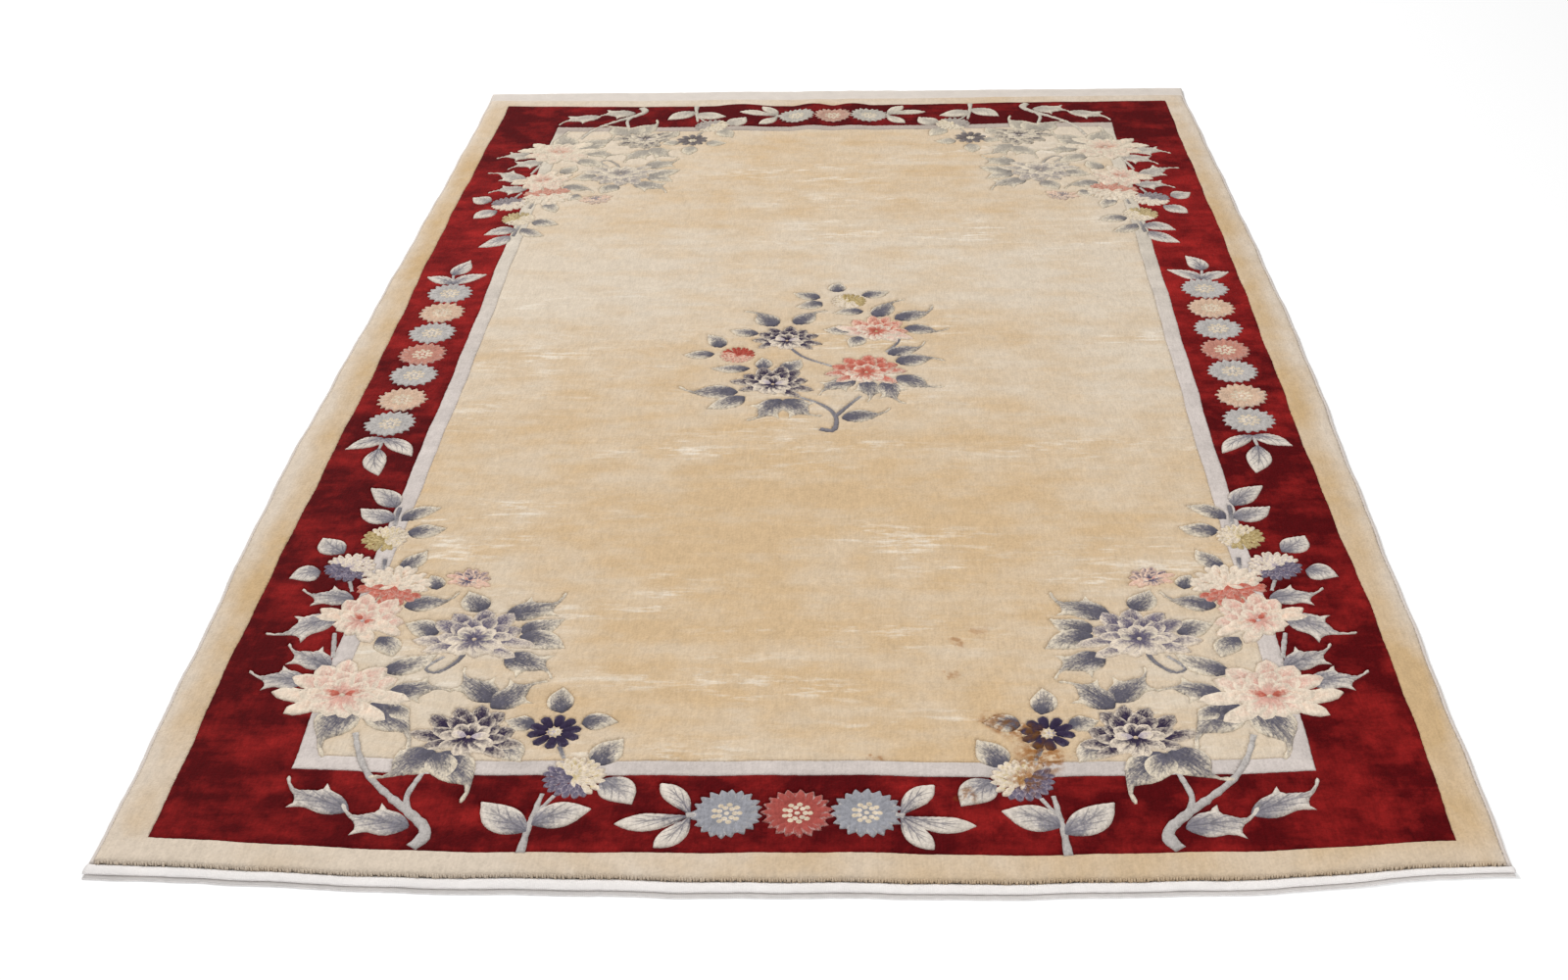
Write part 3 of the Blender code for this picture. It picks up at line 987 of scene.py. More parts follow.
def carved_height(net, triangles, owner, table, sizes):
    """Height of the pile at each point of the net, clipped down along the cuts."""
    deep, shallow = [], []
    for (p, q), number in table.items():
        other = table.get((q, p))
        if other is not None and p < q and owner[number] != owner[other]:
            alike = (owner[number] < len(GROUNDS)) == (owner[other] < len(GROUNDS))
            (shallow if alike else deep).append((p, q))
    height = np.full(len(net), sizes.pile_height)
    clipped = np.zeros(len(net))
    away = np.full(len(net), 1.0)
    for pairs, depth in ((deep, sizes.motif_groove), (shallow, sizes.petal_groove)):
        pairs = np.array(pairs)
        samples = np.vstack([net[np.unique(pairs)], net[pairs].mean(axis=1)])
        distance = distances(tree_of(samples), net)
        share = np.clip(1 - distance / sizes.groove_half_width, 0, 1)
        clipped = np.maximum(clipped, depth * share)
        away = np.minimum(away, distance)
    on_motif = np.zeros(len(net), bool)
    on_motif[triangles[owner >= len(GROUNDS)].ravel()] = True
    swell = np.clip(away / CROWN_REACH, 0, 1)
    height = height - clipped + np.where(on_motif, sizes.crown * swell * (2 - swell), 0.0)
    to_rim = np.minimum(PILE_HALF_WIDTH - np.abs(net[:, 0]), PILE_HALF_LENGTH - np.abs(net[:, 1]))
    height -= RIM_FALL * np.clip(1 - to_rim / RIM_ROUNDING, 0, 1) ** 2
    broad = np.array([noise.noise((x * 9, y * 6, 0.0)) for x, y in net])
    close = np.array([0.6 * noise.noise((x * 38, y * 30, 4.0)) for x, y in net])
    return height + SURFACE_ROLL * (broad + close) + ripple(net[:, 0], net[:, 1]), clipped


def follow(shape, places):
    """Share along a shape's spine, and place across it from 0 to 1, for each place."""
    start, end = shape.spine[:-1], shape.spine[1:]
    way = end - start
    length = np.maximum(np.linalg.norm(way, axis=1), 1e-9)
    from_start = places[:, None, :] - start[None]
    t = np.clip((from_start * way).sum(axis=2) / length ** 2, 0, 1)
    gap = from_start - t[..., None] * way
    distance = np.linalg.norm(gap, axis=2)
    best = distance.argmin(axis=1)
    row = np.arange(len(places))
    run = np.concatenate([[0.0], np.cumsum(length)])
    share = (run[best] + t[row, best] * length[best]) / run[-1]
    side = np.sign(way[best, 0] * gap[row, best, 1] - way[best, 1] * gap[row, best, 0])
    across = np.clip(side * distance[row, best] / (shape.breadth / 2), -1, 1)
    return np.stack([share, across / 2 + 0.5], axis=1)


def underside(net, owner, table, piece_of):
    """The foot of each piece: larger triangles, the piece of each, and the edges round every piece."""
    borders = []
    piece_by_edge = {}
    for (p, q), number in table.items():
        other = table.get((q, p))
        mine = piece_of[owner[number]]
        if other is None or piece_of[owner[other]] != mine:
            piece_by_edge[p, q] = mine
            if other is None or p < q:
                borders.append((p, q))
    used = sorted({p for edge in borders for p in edge})
    local = {p: k for k, p in enumerate(used)}
    corners = [Vector(net[p]) / MM for p in used]
    edges = [(local[p], local[q]) for p, q in borders]
    made = delaunay_2d_cdt(corners, edges, [], 0, CUT_EPSILON / MM / 4)
    if len(made[0]) != len(used):
        raise RuntimeError("the foot of the pile lost outline points")
    origin = [group[0] for group in made[3]]
    feet = np.array([[used[origin[k]] for k in face] for face in made[2]])
    turned = triangle_area(net, feet) < 0
    feet[turned] = feet[turned][:, ::-1]
    foot_table = net_edges(feet)
    belongs = np.full(len(feet), -1)
    waiting = []
    for edge, piece in piece_by_edge.items():
        number = foot_table.get(edge)
        if number is not None and belongs[number] < 0:
            belongs[number] = piece
            waiting.append(number)
    while waiting:
        number = waiting.pop()
        p, q, r = feet[number].tolist()
        for a, b in ((p, q), (q, r), (r, p)):
            if (a, b) in piece_by_edge:
                continue
            other = foot_table.get((b, a))
            if other is not None and belongs[other] < 0:
                belongs[other] = belongs[number]
                waiting.append(other)
    return feet, belongs, piece_by_edge


def deselect():
    bpy.ops.object.select_all(action="DESELECT")


def mesh_object(name, points, faces, material):
    """A smooth mesh piece with its place in its mesh."""
    mesh = bpy.data.meshes.new(name)
    mesh.from_pydata(points, [], faces)
    mesh.validate()
    mesh.shade_smooth()
    mesh.materials.append(material)
    obj = bpy.data.objects.new(name, mesh)
    bpy.context.scene.collection.objects.link(obj)
    return obj


def fitted(obj, slot, *nodes):
    """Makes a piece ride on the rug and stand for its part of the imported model."""
    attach(obj, "root")
    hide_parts(*nodes)
    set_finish(obj, slot)
    return obj


class Value:
    """A number, colour or vector inside a shader, so that a sum over sockets reads as a sum."""

    def __init__(self, socket):
        self.socket = socket
        self.tree = socket.id_data

    def math(self, operation, *others, clamp=False):
        inputs = dict(enumerate((self, *others)))
        return node(self.tree, "ShaderNodeMath", inputs, operation=operation, use_clamp=clamp)["Value"]

    def __add__(self, other):
        return self.math("ADD", other)

    def __sub__(self, other):
        return self.math("SUBTRACT", other)

    def __mul__(self, other):
        return self.math("MULTIPLY", other)

    def __truediv__(self, other):
        return self.math("DIVIDE", other)

    def __rtruediv__(self, other):
        return node(self.tree, "ShaderNodeMath", {0: other, 1: self}, operation="DIVIDE")["Value"]

    def clamped(self):
        return self.math("ADD", 0.0, clamp=True)

    def ramp(self, low, high, to_low=0.0, to_high=1.0):
        """This value, taken smoothly from one span to another."""
        spans = {0: self, 1: low, 2: high, 3: to_low, 4: to_high}
        return node(self.tree, "ShaderNodeMapRange", spans, interpolation_type="SMOOTHSTEP")["Result"]

    def split(self):
        return node(self.tree, "ShaderNodeSeparateXYZ", {0: self})

    def channel(self, name):
        return node(self.tree, "ShaderNodeSeparateColor", {0: self})[name]


def outputs_of(made):
    """A node's outputs as values, by name."""
    return {output.name: Value(output) for output in made.outputs}


def fill(made, inputs):
    """Sets or links a node's inputs, by name or number."""
    for key, value in inputs.items():
        if isinstance(value, Value):
            made.id_data.links.new(value.socket, made.inputs[key])
        else:
            made.inputs[key].default_value = value


def node(tree, kind, inputs=(), **settings):
    """Adds a node, sets its properties and inputs, and gives its outputs by name."""
    made = tree.nodes.new(kind)
    for name, value in settings.items():
        setattr(made, name, value)
    fill(made, dict(inputs))
    return outputs_of(made)


def mixed(share, a, b, blend="MIX"):
    """One colour laid over another by a share."""
    made = share.tree.nodes.new("ShaderNodeMix")
    made.data_type = "RGBA"
    made.blend_type = blend
    a, b = (colour if isinstance(colour, Value) else (*colour, 1.0) for colour in (a, b))
    fill(made, {0: share, 6: a, 7: b})
    return Value(made.outputs[2])


def shaded(colour, shade):
    """A colour made lighter or darker by a shade."""
    return node(shade.tree, "ShaderNodeVectorMath", {0: colour, 1: shade}, operation="MULTIPLY")["Vector"]


def rug_place(tree):
    """Where a point lies on the rug, in metres."""
    return node(tree, "ShaderNodeTexCoord")["Object"]


def mottle(place, scale, detail=3.0, roughness=0.55, stretch=(1.0, 1.0, 1.0), shift=0.0):
    """Soft noise over the rug, which may be drawn out along it or across it."""
    moves = {0: place, 1: (shift, shift * 0.7, 0.0), 3: stretch}
    moved = node(place.tree, "ShaderNodeMapping", moves)["Vector"]
    inputs = {"Vector": moved, "Scale": scale, "Detail": detail, "Roughness": roughness}
    return node(place.tree, "ShaderNodeTexNoise", inputs)["Fac"]


def group(name, outputs, inputs=()):
    """A new shader node group: its tree, its inputs as values, and its output node."""
    tree = bpy.data.node_groups.new(name, "ShaderNodeTree")
    for label, sort, default in inputs:
        made = tree.interface.new_socket(name=label, in_out="INPUT", socket_type=sort)
        if default is not None:
            made.default_value = default
    for label in outputs:
        tree.interface.new_socket(name=label, in_out="OUTPUT", socket_type="NodeSocketFloat")
    return tree, node(tree, "NodeGroupInput"), tree.nodes.new("NodeGroupOutput")


def use_group(tree, name, **inputs):
    """Adds a node group, sets or links its inputs, and gives its outputs by name."""
    made = tree.nodes.new("ShaderNodeGroup")
    made.node_tree = bpy.data.node_groups[name]
    fill(made, {key.replace("_", " ").title(): value for key, value in inputs.items()})
    return outputs_of(made)


def nap_group():
    """Knots, tufts and warp-wise lines of clipped pile: a shade about 1, and a height for bump."""
    tree, given, out = group(
        "Clipped Nap", ("Shade", "Height"),
        (("Knot Size", "NodeSocketFloat", KNOT_SIZE), ("Contrast", "NodeSocketFloat", 0.10)),
    )
    place = rug_place(tree)
    knots = node(tree, "ShaderNodeTexVoronoi", {
        "Vector": place, "Scale": 1.0 / given["Knot Size"], "Randomness": 0.9,
    })
    lines = mottle(place, 300.0, 3.0, 0.6, (1.0, 0.10, 1.0))
    clumps = mottle(place, 75.0, 4.0, 0.6, (1.0, 0.55, 1.0), 3.0)
    brushed = mottle(place, 26.0, 5.0, 0.65, (1.0, 0.7, 1.0), 7.0)
    whole = knots["Color"].channel("Red") * 0.5 + lines * 1.3 + clumps * 1.2 + brushed * 0.8
    fill(out, {
        "Shade": (whole - NAP_MEAN) * given["Contrast"] + 1.0,
        "Height": lines * 0.9 - knots["Distance"] * 0.9 + clumps,
    })


def abrash_and_sheen_group():
    """Cloudy patches and weft-wise streaks over the pile, from 0 to 1: partly unevenly dyed and brushed yarn,
    partly painted sheen of pile that lies different ways.
    """
    tree, given, out = group(
        "Uneven Dye And Sheen", ("Patches", "Streaks"),
        (("Patch Scale", "NodeSocketFloat", 3.0), ("Streak Scale", "NodeSocketFloat", 5.0)),
    )
    place = rug_place(tree)
    patches = node(tree, "ShaderNodeTexNoise", {
        "Vector": place, "Scale": given["Patch Scale"], "Detail": 5.0, "Roughness": 0.62, "Distortion": 0.3,
    })["Fac"]
    streaks = mottle(place, given["Streak Scale"], 6.0, 0.68, (0.42, 3.2, 1.0))
    fill(out, {"Patches": patches.ramp(0.30, 0.70), "Streaks": streaks.ramp(0.30, 0.70)})


def stain_group():
    """Where something was spilt: brown blots with a rough edge, from 0 to 1."""
    tree, _, out = group("Spilt Stains", ("Mask",))
    place = rug_place(tree)
    wobble = node(tree, "ShaderNodeTexNoise", {"Vector": place, "Scale": 42.0, "Detail": 4.0})["Color"]
    moved = node(tree, "ShaderNodeVectorMath", {0: wobble, 1: (STAIN_WOBBLE, STAIN_WOBBLE, 0.0), 2: place},
                 operation="MULTIPLY_ADD")["Vector"]
    flat = node(tree, "ShaderNodeVectorMath", {0: moved, 1: (1.0, 1.0, 0.0)}, operation="MULTIPLY")["Vector"]
    blots = []
    for x, y, radius, strength in STAINS:
        middle = (x + STAIN_WOBBLE / 2, y + STAIN_WOBBLE / 2, 0.0)
        reach = node(tree, "ShaderNodeVectorMath", {0: flat, 1: middle}, operation="DISTANCE")["Value"]
        blots.append(reach.ramp(radius, radius * 0.35, 0.0, strength))
    total = blots[0]
    for blot in blots[1:]:
        total = total.math("MAXIMUM", blot)
    fill(out, {"Mask": total * mottle(place, 90.0, 4.0).ramp(0.36, 0.60)})


def strand_group():
    """Streaky fading from a petal's root to its tip and rim, and its veins, from the petal's own layout."""
    tree, given, out = group(
        "Petal Shading", ("Fade", "Veins"),
        (("Layout", "NodeSocketVector", None), ("Root Reach", "NodeSocketFloat", 0.5)),
    )
    place, layout = rug_place(tree), given["Layout"].split()
    along, across = layout["X"], layout["Y"]
    off = (across * 2.0 - 1.0).math("ABSOLUTE")
    apart = place.split()
    drift = (apart["X"] + apart["Y"]) * 22.0
    fan = node(tree, "ShaderNodeCombineXYZ", {0: across * 21.0, 1: along * 1.8, 2: drift})["Vector"]
    streak = mottle(fan, 1.6, 4.0, 0.65)
    knots = node(tree, "ShaderNodeTexVoronoi", {"Vector": place, "Scale": 330.0})["Color"].channel("Green")
    rim = off.math("POWER", 2.2) * 0.62
    spotty = along * 0.84 + rim + (knots - 0.5) * 0.24 + (streak - 0.5)
    ribs = along * 3.8 - off * 2.1
    side_veins = ribs.math("PINGPONG", 0.5).ramp(0.16, 0.03) * off.ramp(0.95, 0.45)
    veins = side_veins.math("MAXIMUM", off.ramp(0.11, 0.03))
    fill(out, {
        "Fade": (spotty - given["Root Reach"]).ramp(-0.36, 0.36),
        "Veins": veins * along.ramp(0.90, 0.62) * streak.ramp(0.34, 0.52),
    })


def weave_group():
    """Plain weave with ribs across the rug: a shade about 1, and a height for bump."""
    tree, given, out = group(
        "Ribbed Weave", ("Shade", "Height"),
        (("Rib", "NodeSocketFloat", WEB_WEAVE[0]), ("Thread", "NodeSocketFloat", WEB_WEAVE[1])),
    )
    place = rug_place(tree)
    apart = place.split()
    bend = mottle(place, 9.0) * 0.012
    ribs = ((apart["Y"] + bend) / given["Rib"] * math.tau).math("SINE")
    threads = (apart["X"] / given["Thread"] * math.tau).math("SINE")
    height = threads * 0.4 + ribs
    cloudy = (mottle(place, 30.0, 5.0) - 0.5) * 0.22
    fill(out, {"Shade": height * 0.035 + 1.0 + cloudy, "Height": height})


def opened_material(name, roughness=0.66, sheen=0.10, sheen_roughness=0.35):
    """A new material with plain shader values: its tree and its shader."""
    made = bpy.data.materials.new(name)
    made.use_nodes = True
    shader = made.node_tree.nodes["Principled BSDF"]
    shader.inputs["Roughness"].default_value = roughness
    shader.inputs["Specular IOR Level"].default_value = 0.04
    shader.inputs["Sheen Weight"].default_value = sheen
    shader.inputs["Sheen Roughness"].default_value = sheen_roughness
    return made.node_tree, shader


def finish(shader, colour, height, strength, distance):
    """Gives a shader its colour, and bump from a height."""
    inputs = {"Strength": strength, "Distance": distance, "Height": height}
    normal = node(shader.id_data, "ShaderNodeBump", inputs)["Normal"]
    fill(shader, {"Base Color": colour, "Normal": normal})


def finish_pile(shader, colour, contrast=0.22):
    """Adds nap, stains and groove shade to a pile colour, and bump to its shader."""
    tree = shader.id_data
    nap = use_group(tree, "Clipped Nap", contrast=contrast)
    spilt = use_group(tree, "Spilt Stains")["Mask"]
    groove = node(tree, "ShaderNodeAttribute", attribute_name="groove")["Fac"]
    lit = shaded(colour, nap["Shade"] * (groove * -0.05 + 1.0))
    stained = mixed(spilt * 0.85, lit, linear(STAIN_FILM), "MULTIPLY")
    finish(shader, mixed(spilt * 0.45, stained, linear(STAIN_BROWN)), nap["Height"], 0.7, 0.0009)


def dye_lot_and_sheen_bands(along):
    """How pale the field is at a place along the rug: partly its dye lots, partly painted sheen."""
    spans = {0: along, 1: -PILE_HALF_LENGTH, 2: PILE_HALF_LENGTH}
    share = node(along.tree, "ShaderNodeMapRange", spans)["Result"]
    band_ramp = along.tree.nodes.new("ShaderNodeValToRGB")
    band_ramp.color_ramp.interpolation = "B_SPLINE"
    points = band_ramp.color_ramp.elements
    points.remove(points[1])
    for k, (y, pale) in enumerate(DYE_LOT_AND_SHEEN_BANDS):
        at = (y + PILE_HALF_LENGTH) / (2 * PILE_HALF_LENGTH)
        stop = points[0] if k == 0 else points.new(at)
        stop.position = at
        stop.color = (pale, pale, pale, 1.0)
    fill(band_ramp, {0: share})
    return Value(band_ramp.outputs["Color"]).channel("Red")


def field_material(colours):
    tree, shader = opened_material("field_pile")
    dye_and_sheen = use_group(tree, "Uneven Dye And Sheen", patch_scale=2.6, streak_scale=4.0)
    place = rug_place(tree)
    apart = place.split()
    # Partly dye lots, partly painted sheen: the field is painted paler in bands along the rug
    lot_and_sheen = dye_lot_and_sheen_bands(apart["Y"] + (mottle(place, 3.0, 4.0, 0.6) * 0.30 - 0.15))
    middle = apart["X"].math("ABSOLUTE")
    sides = middle.ramp(0.04, 0.66, -0.10, 0.16)
    corners = apart["Y"].math("ABSOLUTE").ramp(0.75, 1.15, 0.0, 0.40) * middle.ramp(0.25, 0.60)
    uneven = dye_and_sheen["Patches"] * 0.40 + dye_and_sheen["Streaks"] * 0.42 - 0.41
    cloudy = mottle(place, 11.0, 5.0, 0.6, (0.8, 1.4, 1.0), 2.0).ramp(0.34, 0.66, -0.20, 0.20)
    pale = (lot_and_sheen + sides + corners + uneven + cloudy).clamped()
    dye_and_sheen_colour = mixed(pale, colours.field_gold, colours.field_pale)
    scuffs = mottle(place, 34.0, 5.0, 0.7, (0.35, 1.6, 1.0), 5.0).ramp(0.50, 0.68)
    where = mottle(place, 3.4, 3.0, 0.5, (0.6, 1.5, 1.0), 9.0).ramp(0.46, 0.66)
    finish_pile(shader, mixed(scuffs * where * 0.75, dye_and_sheen_colour, linear(SCUFF_TONE)))


def band_material(colours):
    tree, shader = opened_material("cream_pile")
    dye_and_sheen = use_group(tree, "Uneven Dye And Sheen", patch_scale=4.2, streak_scale=5.0)
    apart = rug_place(tree).split()
    x, y = apart["X"], apart["Y"]
    # Painted sheen: the band is painted paler along its outer rim, at the front left and toward the back end
    rim = x.math("ABSOLUTE").ramp(0.885, 0.930, -0.12, 0.62)
    golden = x.ramp(0.2, 0.7, 0.0, -0.30) * y.ramp(-0.5, -1.2)
    left = y.ramp(-0.95, -1.40) * x.ramp(0.0, -0.5, 0.0, 0.45)
    ends = y.ramp(-1.42, -1.50, 0.0, 0.45) + y.ramp(0.9, 1.45, 0.0, 0.55)
    pale = (dye_and_sheen["Patches"] * 0.66 + 0.02 + golden + left + ends + rim).clamped()
    finish_pile(shader, mixed(pale, colours.band_gold, colours.band_pale))


def crimson_material(colours):
    tree, shader = opened_material("crimson_pile", 0.75, 0.0)
    dye_and_sheen = use_group(tree, "Uneven Dye And Sheen", patch_scale=9.0, streak_scale=9.0)
    place = rug_place(tree)
    y = place.split()["Y"]
    along = y.ramp(-0.45, 0.30, 0.0, 0.44) + y.ramp(0.60, 1.38, 0.0, -0.62)
    spots = mottle(place, 21.0, 5.0, 0.62).ramp(0.36, 0.66, -0.16, 0.20)
    # Partly uneven dye, partly painted sheen: the crimson's light and dark patches
    light = (dye_and_sheen["Patches"] * 0.66 + dye_and_sheen["Streaks"] * 0.28 - 0.26 + spots + along).clamped()
    finish_pile(shader, mixed(light, colours.crimson_dark, colours.crimson_light), 0.42)


def grey_material(colours):
    tree, shader = opened_material("grey_pile")
    dye_and_sheen = use_group(tree, "Uneven Dye And Sheen", patch_scale=6.0, streak_scale=6.0)
    y = rug_place(tree).split()["Y"]
    # Painted sheen: the grey line is painted paler from the middle toward the back, for the washed-out sheen
    # of the pile there
    sheen_wash = mixed(y.ramp(*PALED_LINE_SPAN, 0.0, PALED_LINE_SHARE), colours.grey_line, linear(SHEEN_WASH_TONE))
    paled = mixed(y.ramp(*BACK_LINE_SPAN), sheen_wash, linear(BACK_LINE_TONE))
    finish_pile(shader, shaded(paled, dye_and_sheen["Patches"] * 0.16 + dye_and_sheen["Streaks"] * 0.14 + 0.85))


def motif_material():
    tree, shader = opened_material("motif_pile")
    root = node(tree, "ShaderNodeAttribute", attribute_name="root_tone")
    tip = node(tree, "ShaderNodeAttribute", attribute_name="tip_tone")
    layout = node(tree, "ShaderNodeUVMap", uv_map="petal")["UV"]
    strands = use_group(tree, "Petal Shading", layout=layout, root_reach=tip["Alpha"])
    faded = mixed(strands["Fade"], root["Color"], tip["Color"])
    drawn = mixed(strands["Veins"] * root["Alpha"], faded, linear(YARN["deep_slate"]))
    # Painted sheen: motifs are painted paler toward the back, dark yarns keeping more of their colour, for
    # the washed-out sheen of the pile there
    sheen_wash = rug_place(tree).split()["Y"].ramp(*SHEEN_WASH_SPAN, 0.0, SHEEN_WASH_SHARE)
    dark_keeps = drawn.channel("Green").ramp(0.02, 0.09, 0.40, 1.0)
    finish_pile(shader, mixed(sheen_wash * dark_keeps, drawn, linear(SHEEN_WASH_TONE)), 0.40)


def cotton_material(name, colour, rib, thread):
    tree, shader = opened_material(name, 0.85, 0.10, 0.5)
    weave = use_group(tree, "Ribbed Weave", rib=rib, thread=thread)
    yellowed = mixed(rug_place(tree).split()["Y"].ramp(0.0, 1.4), colour, linear(BACK_WEB_TONE))
    finish(shader, shaded(yellowed, weave["Shade"]), weave["Height"], 0.6, 0.0005)


def cord_material(colour):
    tree, shader = opened_material("cord_yarn", 0.75, 0.20, 0.4)
    place = rug_place(tree)
    fibres = mottle(place, 420.0, 4.0, 0.7, (0.35, 1.0, 1.0))
    light = fibres * 0.36 + mottle(place, 7.0) * 0.2 + 0.70
    finish(shader, shaded(tuple(colour), light), fibres, 0.5, 0.0004)


def make_materials(colours):
    """Every material of the rug, with the node groups that they share."""
    for make_group in (nap_group, abrash_and_sheen_group, stain_group, strand_group, weave_group):
        make_group()
    for make_pile in (field_material, band_material, crimson_material, grey_material):
        make_pile(colours)
    motif_material()
    cotton_material("web_cotton", colours.web, *WEB_WEAVE)
    cotton_material("foundation_cotton", linear(FOUNDATION_TONE), *FOUNDATION_WEAVE)
    cord_material(colours.cord)


GROUND_MATERIALS = {
    "outer_band": "cream_pile",
    "crimson_border": "crimson_pile",
    "grey_line": "grey_pile",
    "field": "field_pile",
}


def pile_piece(name, net, height, clipped, tops, top_owner, feet, borders, shapes):
    """One closed piece of the pile: its carved top, the cut side all round, and its foot."""
    used = np.unique(tops)
    edge_points = np.unique(np.array(borders))
    top_number = np.full(len(net), -1)
    top_number[used] = np.arange(len(used))
    foot_number = np.full(len(net), -1)
    foot_number[edge_points] = len(used) + np.arange(len(edge_points))
    floor = lay(net[:, 0], net[:, 1])
    lift = ripple(net[:, 0], net[:, 1])
    upper = np.column_stack([floor[used], height[used]])
    lower = np.column_stack([floor[edge_points], FOUNDATION_TOP + FOUNDATION_CLEARANCE + lift[edge_points]])
    faces = top_number[tops].tolist()
    faces += [(top_number[q], top_number[p], foot_number[p], foot_number[q]) for p, q in borders]
    faces += foot_number[feet[:, ::-1]].tolist()
    material = bpy.data.materials[GROUND_MATERIALS.get(name, "motif_pile")]
    obj = mesh_object(name, np.vstack([upper, lower]).tolist(), faces, material)
    mesh = obj.data
    groove = mesh.attributes.new("groove", "FLOAT", "POINT")
    share = clipped / clipped.max()
    groove.data.foreach_set("value", np.concatenate([share[used], share[edge_points]]))
    if name not in GROUND_MATERIALS:
        paint_petals(mesh, net, tops, top_owner, shapes)
    return fitted(obj, "pile", "pile_carpet")


def paint_petals(mesh, net, tops, top_owner, shapes):
    """Gives each corner of a motif its petal's root and tip colours, and its place on the petal."""
    loops = len(mesh.loops)
    root, tip = np.ones((loops, 4)), np.ones((loops, 4))
    root[:, :3] = tip[:, :3] = linear(YARN["slate"])
    layout = np.zeros((loops, 2))
    corners = tops.ravel()
    shape_of_corner = np.repeat(top_owner, 3) - len(GROUNDS)
    for number in np.unique(shape_of_corner):
        at = np.flatnonzero(shape_of_corner == number)
        shape = shapes[number]
        root[at] = (*shape.root, shape.veins)
        tip[at] = (*shape.tip, shape.reach)
        layout[at] = follow(shape, net[corners[at]])
    for name, values in (("root_tone", root), ("tip_tone", tip)):
        layer = mesh.color_attributes.new(name, "FLOAT_COLOR", "CORNER")
        layer.data.foreach_set("color", values.ravel())
    mesh.uv_layers.new(name="petal").data.foreach_set("uv", layout.ravel())


class RUG_OT_carved_pile(bpy.types.Operator):
    """Cuts the pile along every leaf, petal and band, and parts it by yarn and motif"""

    bl_idname = "rug.carved_pile"
    bl_label = "Carved Pile"

    def execute(self, context):
        make_materials(context.scene.rug_colours)
        shapes = motif_shapes()
        net, triangles, owner = cut_net(shapes)
        names = list(GROUNDS) + sorted({shape.piece for shape in shapes})
        piece_of = np.array(list(range(len(GROUNDS))) + [names.index(shape.piece) for shape in shapes])
        table = net_edges(triangles)
        height, clipped = carved_height(net, triangles, owner, table, context.scene.rug_sizes)
        feet, foot_piece, piece_by_edge = underside(net, owner, table, piece_of)
        for number, name in enumerate(names):
            mine = piece_of[owner] == number
            borders = [edge for edge, piece in piece_by_edge.items() if piece == number]
            pile_piece(name, net, height, clipped, triangles[mine], owner[mine], feet[foot_piece == number],
                       borders, shapes)
        return {"FINISHED"}


def even_places(half, step):
    """Even places from one side to the other."""
    return np.linspace(-half, half, round(2 * half / step) + 1)


def waves(where, sign, rows):
    """Small unevenness at a place along an edge, from rows of height, waves for each metre, and two seeds."""
    return sum(
        height * noise.noise((where * close, sign * seed, other)) for height, close, seed, other in rows
    )


class RUG_OT_foundation(bpy.types.Operator):
    """Weaves the cotton foundation that the pile is knotted on"""

    bl_idname = "rug.foundation"
    bl_label = "Foundation"

    def execute(self, context):
        deselect()
        across, along = FOUNDATION_GRID
        bpy.ops.mesh.primitive_grid_add(x_subdivisions=across, y_subdivisions=along, size=2.0)
        obj = context.object
        obj.name = obj.data.name = "foundation"
        bpy.ops.object.mode_set(mode="EDIT")
        bpy.ops.mesh.select_all(action="SELECT")
        bpy.ops.mesh.extrude_region_move(TRANSFORM_OT_translate={"value": (0, 0, 1)})
        bpy.ops.mesh.select_all(action="SELECT")
        bpy.ops.mesh.normals_make_consistent(inside=False)
        bpy.ops.object.mode_set(mode="OBJECT")
        points = np.array([tuple(vert.co) for vert in obj.data.vertices])
        x, y = points[:, 0] * PILE_HALF_WIDTH, points[:, 1] * PILE_HALF_LENGTH
        raised = np.where(points[:, 2] > 0.5, FOUNDATION_TOP, 0.0) + ripple(x, y)
        placed = np.column_stack([lay(x, y), raised])
        obj.data.vertices.foreach_set("co", placed.ravel())
        obj.data.update()
        obj.data.materials.append(bpy.data.materials["foundation_cotton"])
        fitted(obj, "web", "pile_carpet")
        pile = [o for o in bpy.data.objects if o.get("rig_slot") == "pile"]
        return {"FINISHED"}


TUFT_CORNERS = tuple((a, b, c) for c in (0, 1) for a, b in ((-1, -1), (1, -1), (1, 1), (-1, 1)))
TUFT_FACES = ((3, 2, 1, 0), (4, 5, 6, 7), (0, 1, 5, 4), (1, 2, 6, 5), (2, 3, 7, 6), (3, 0, 4, 7))


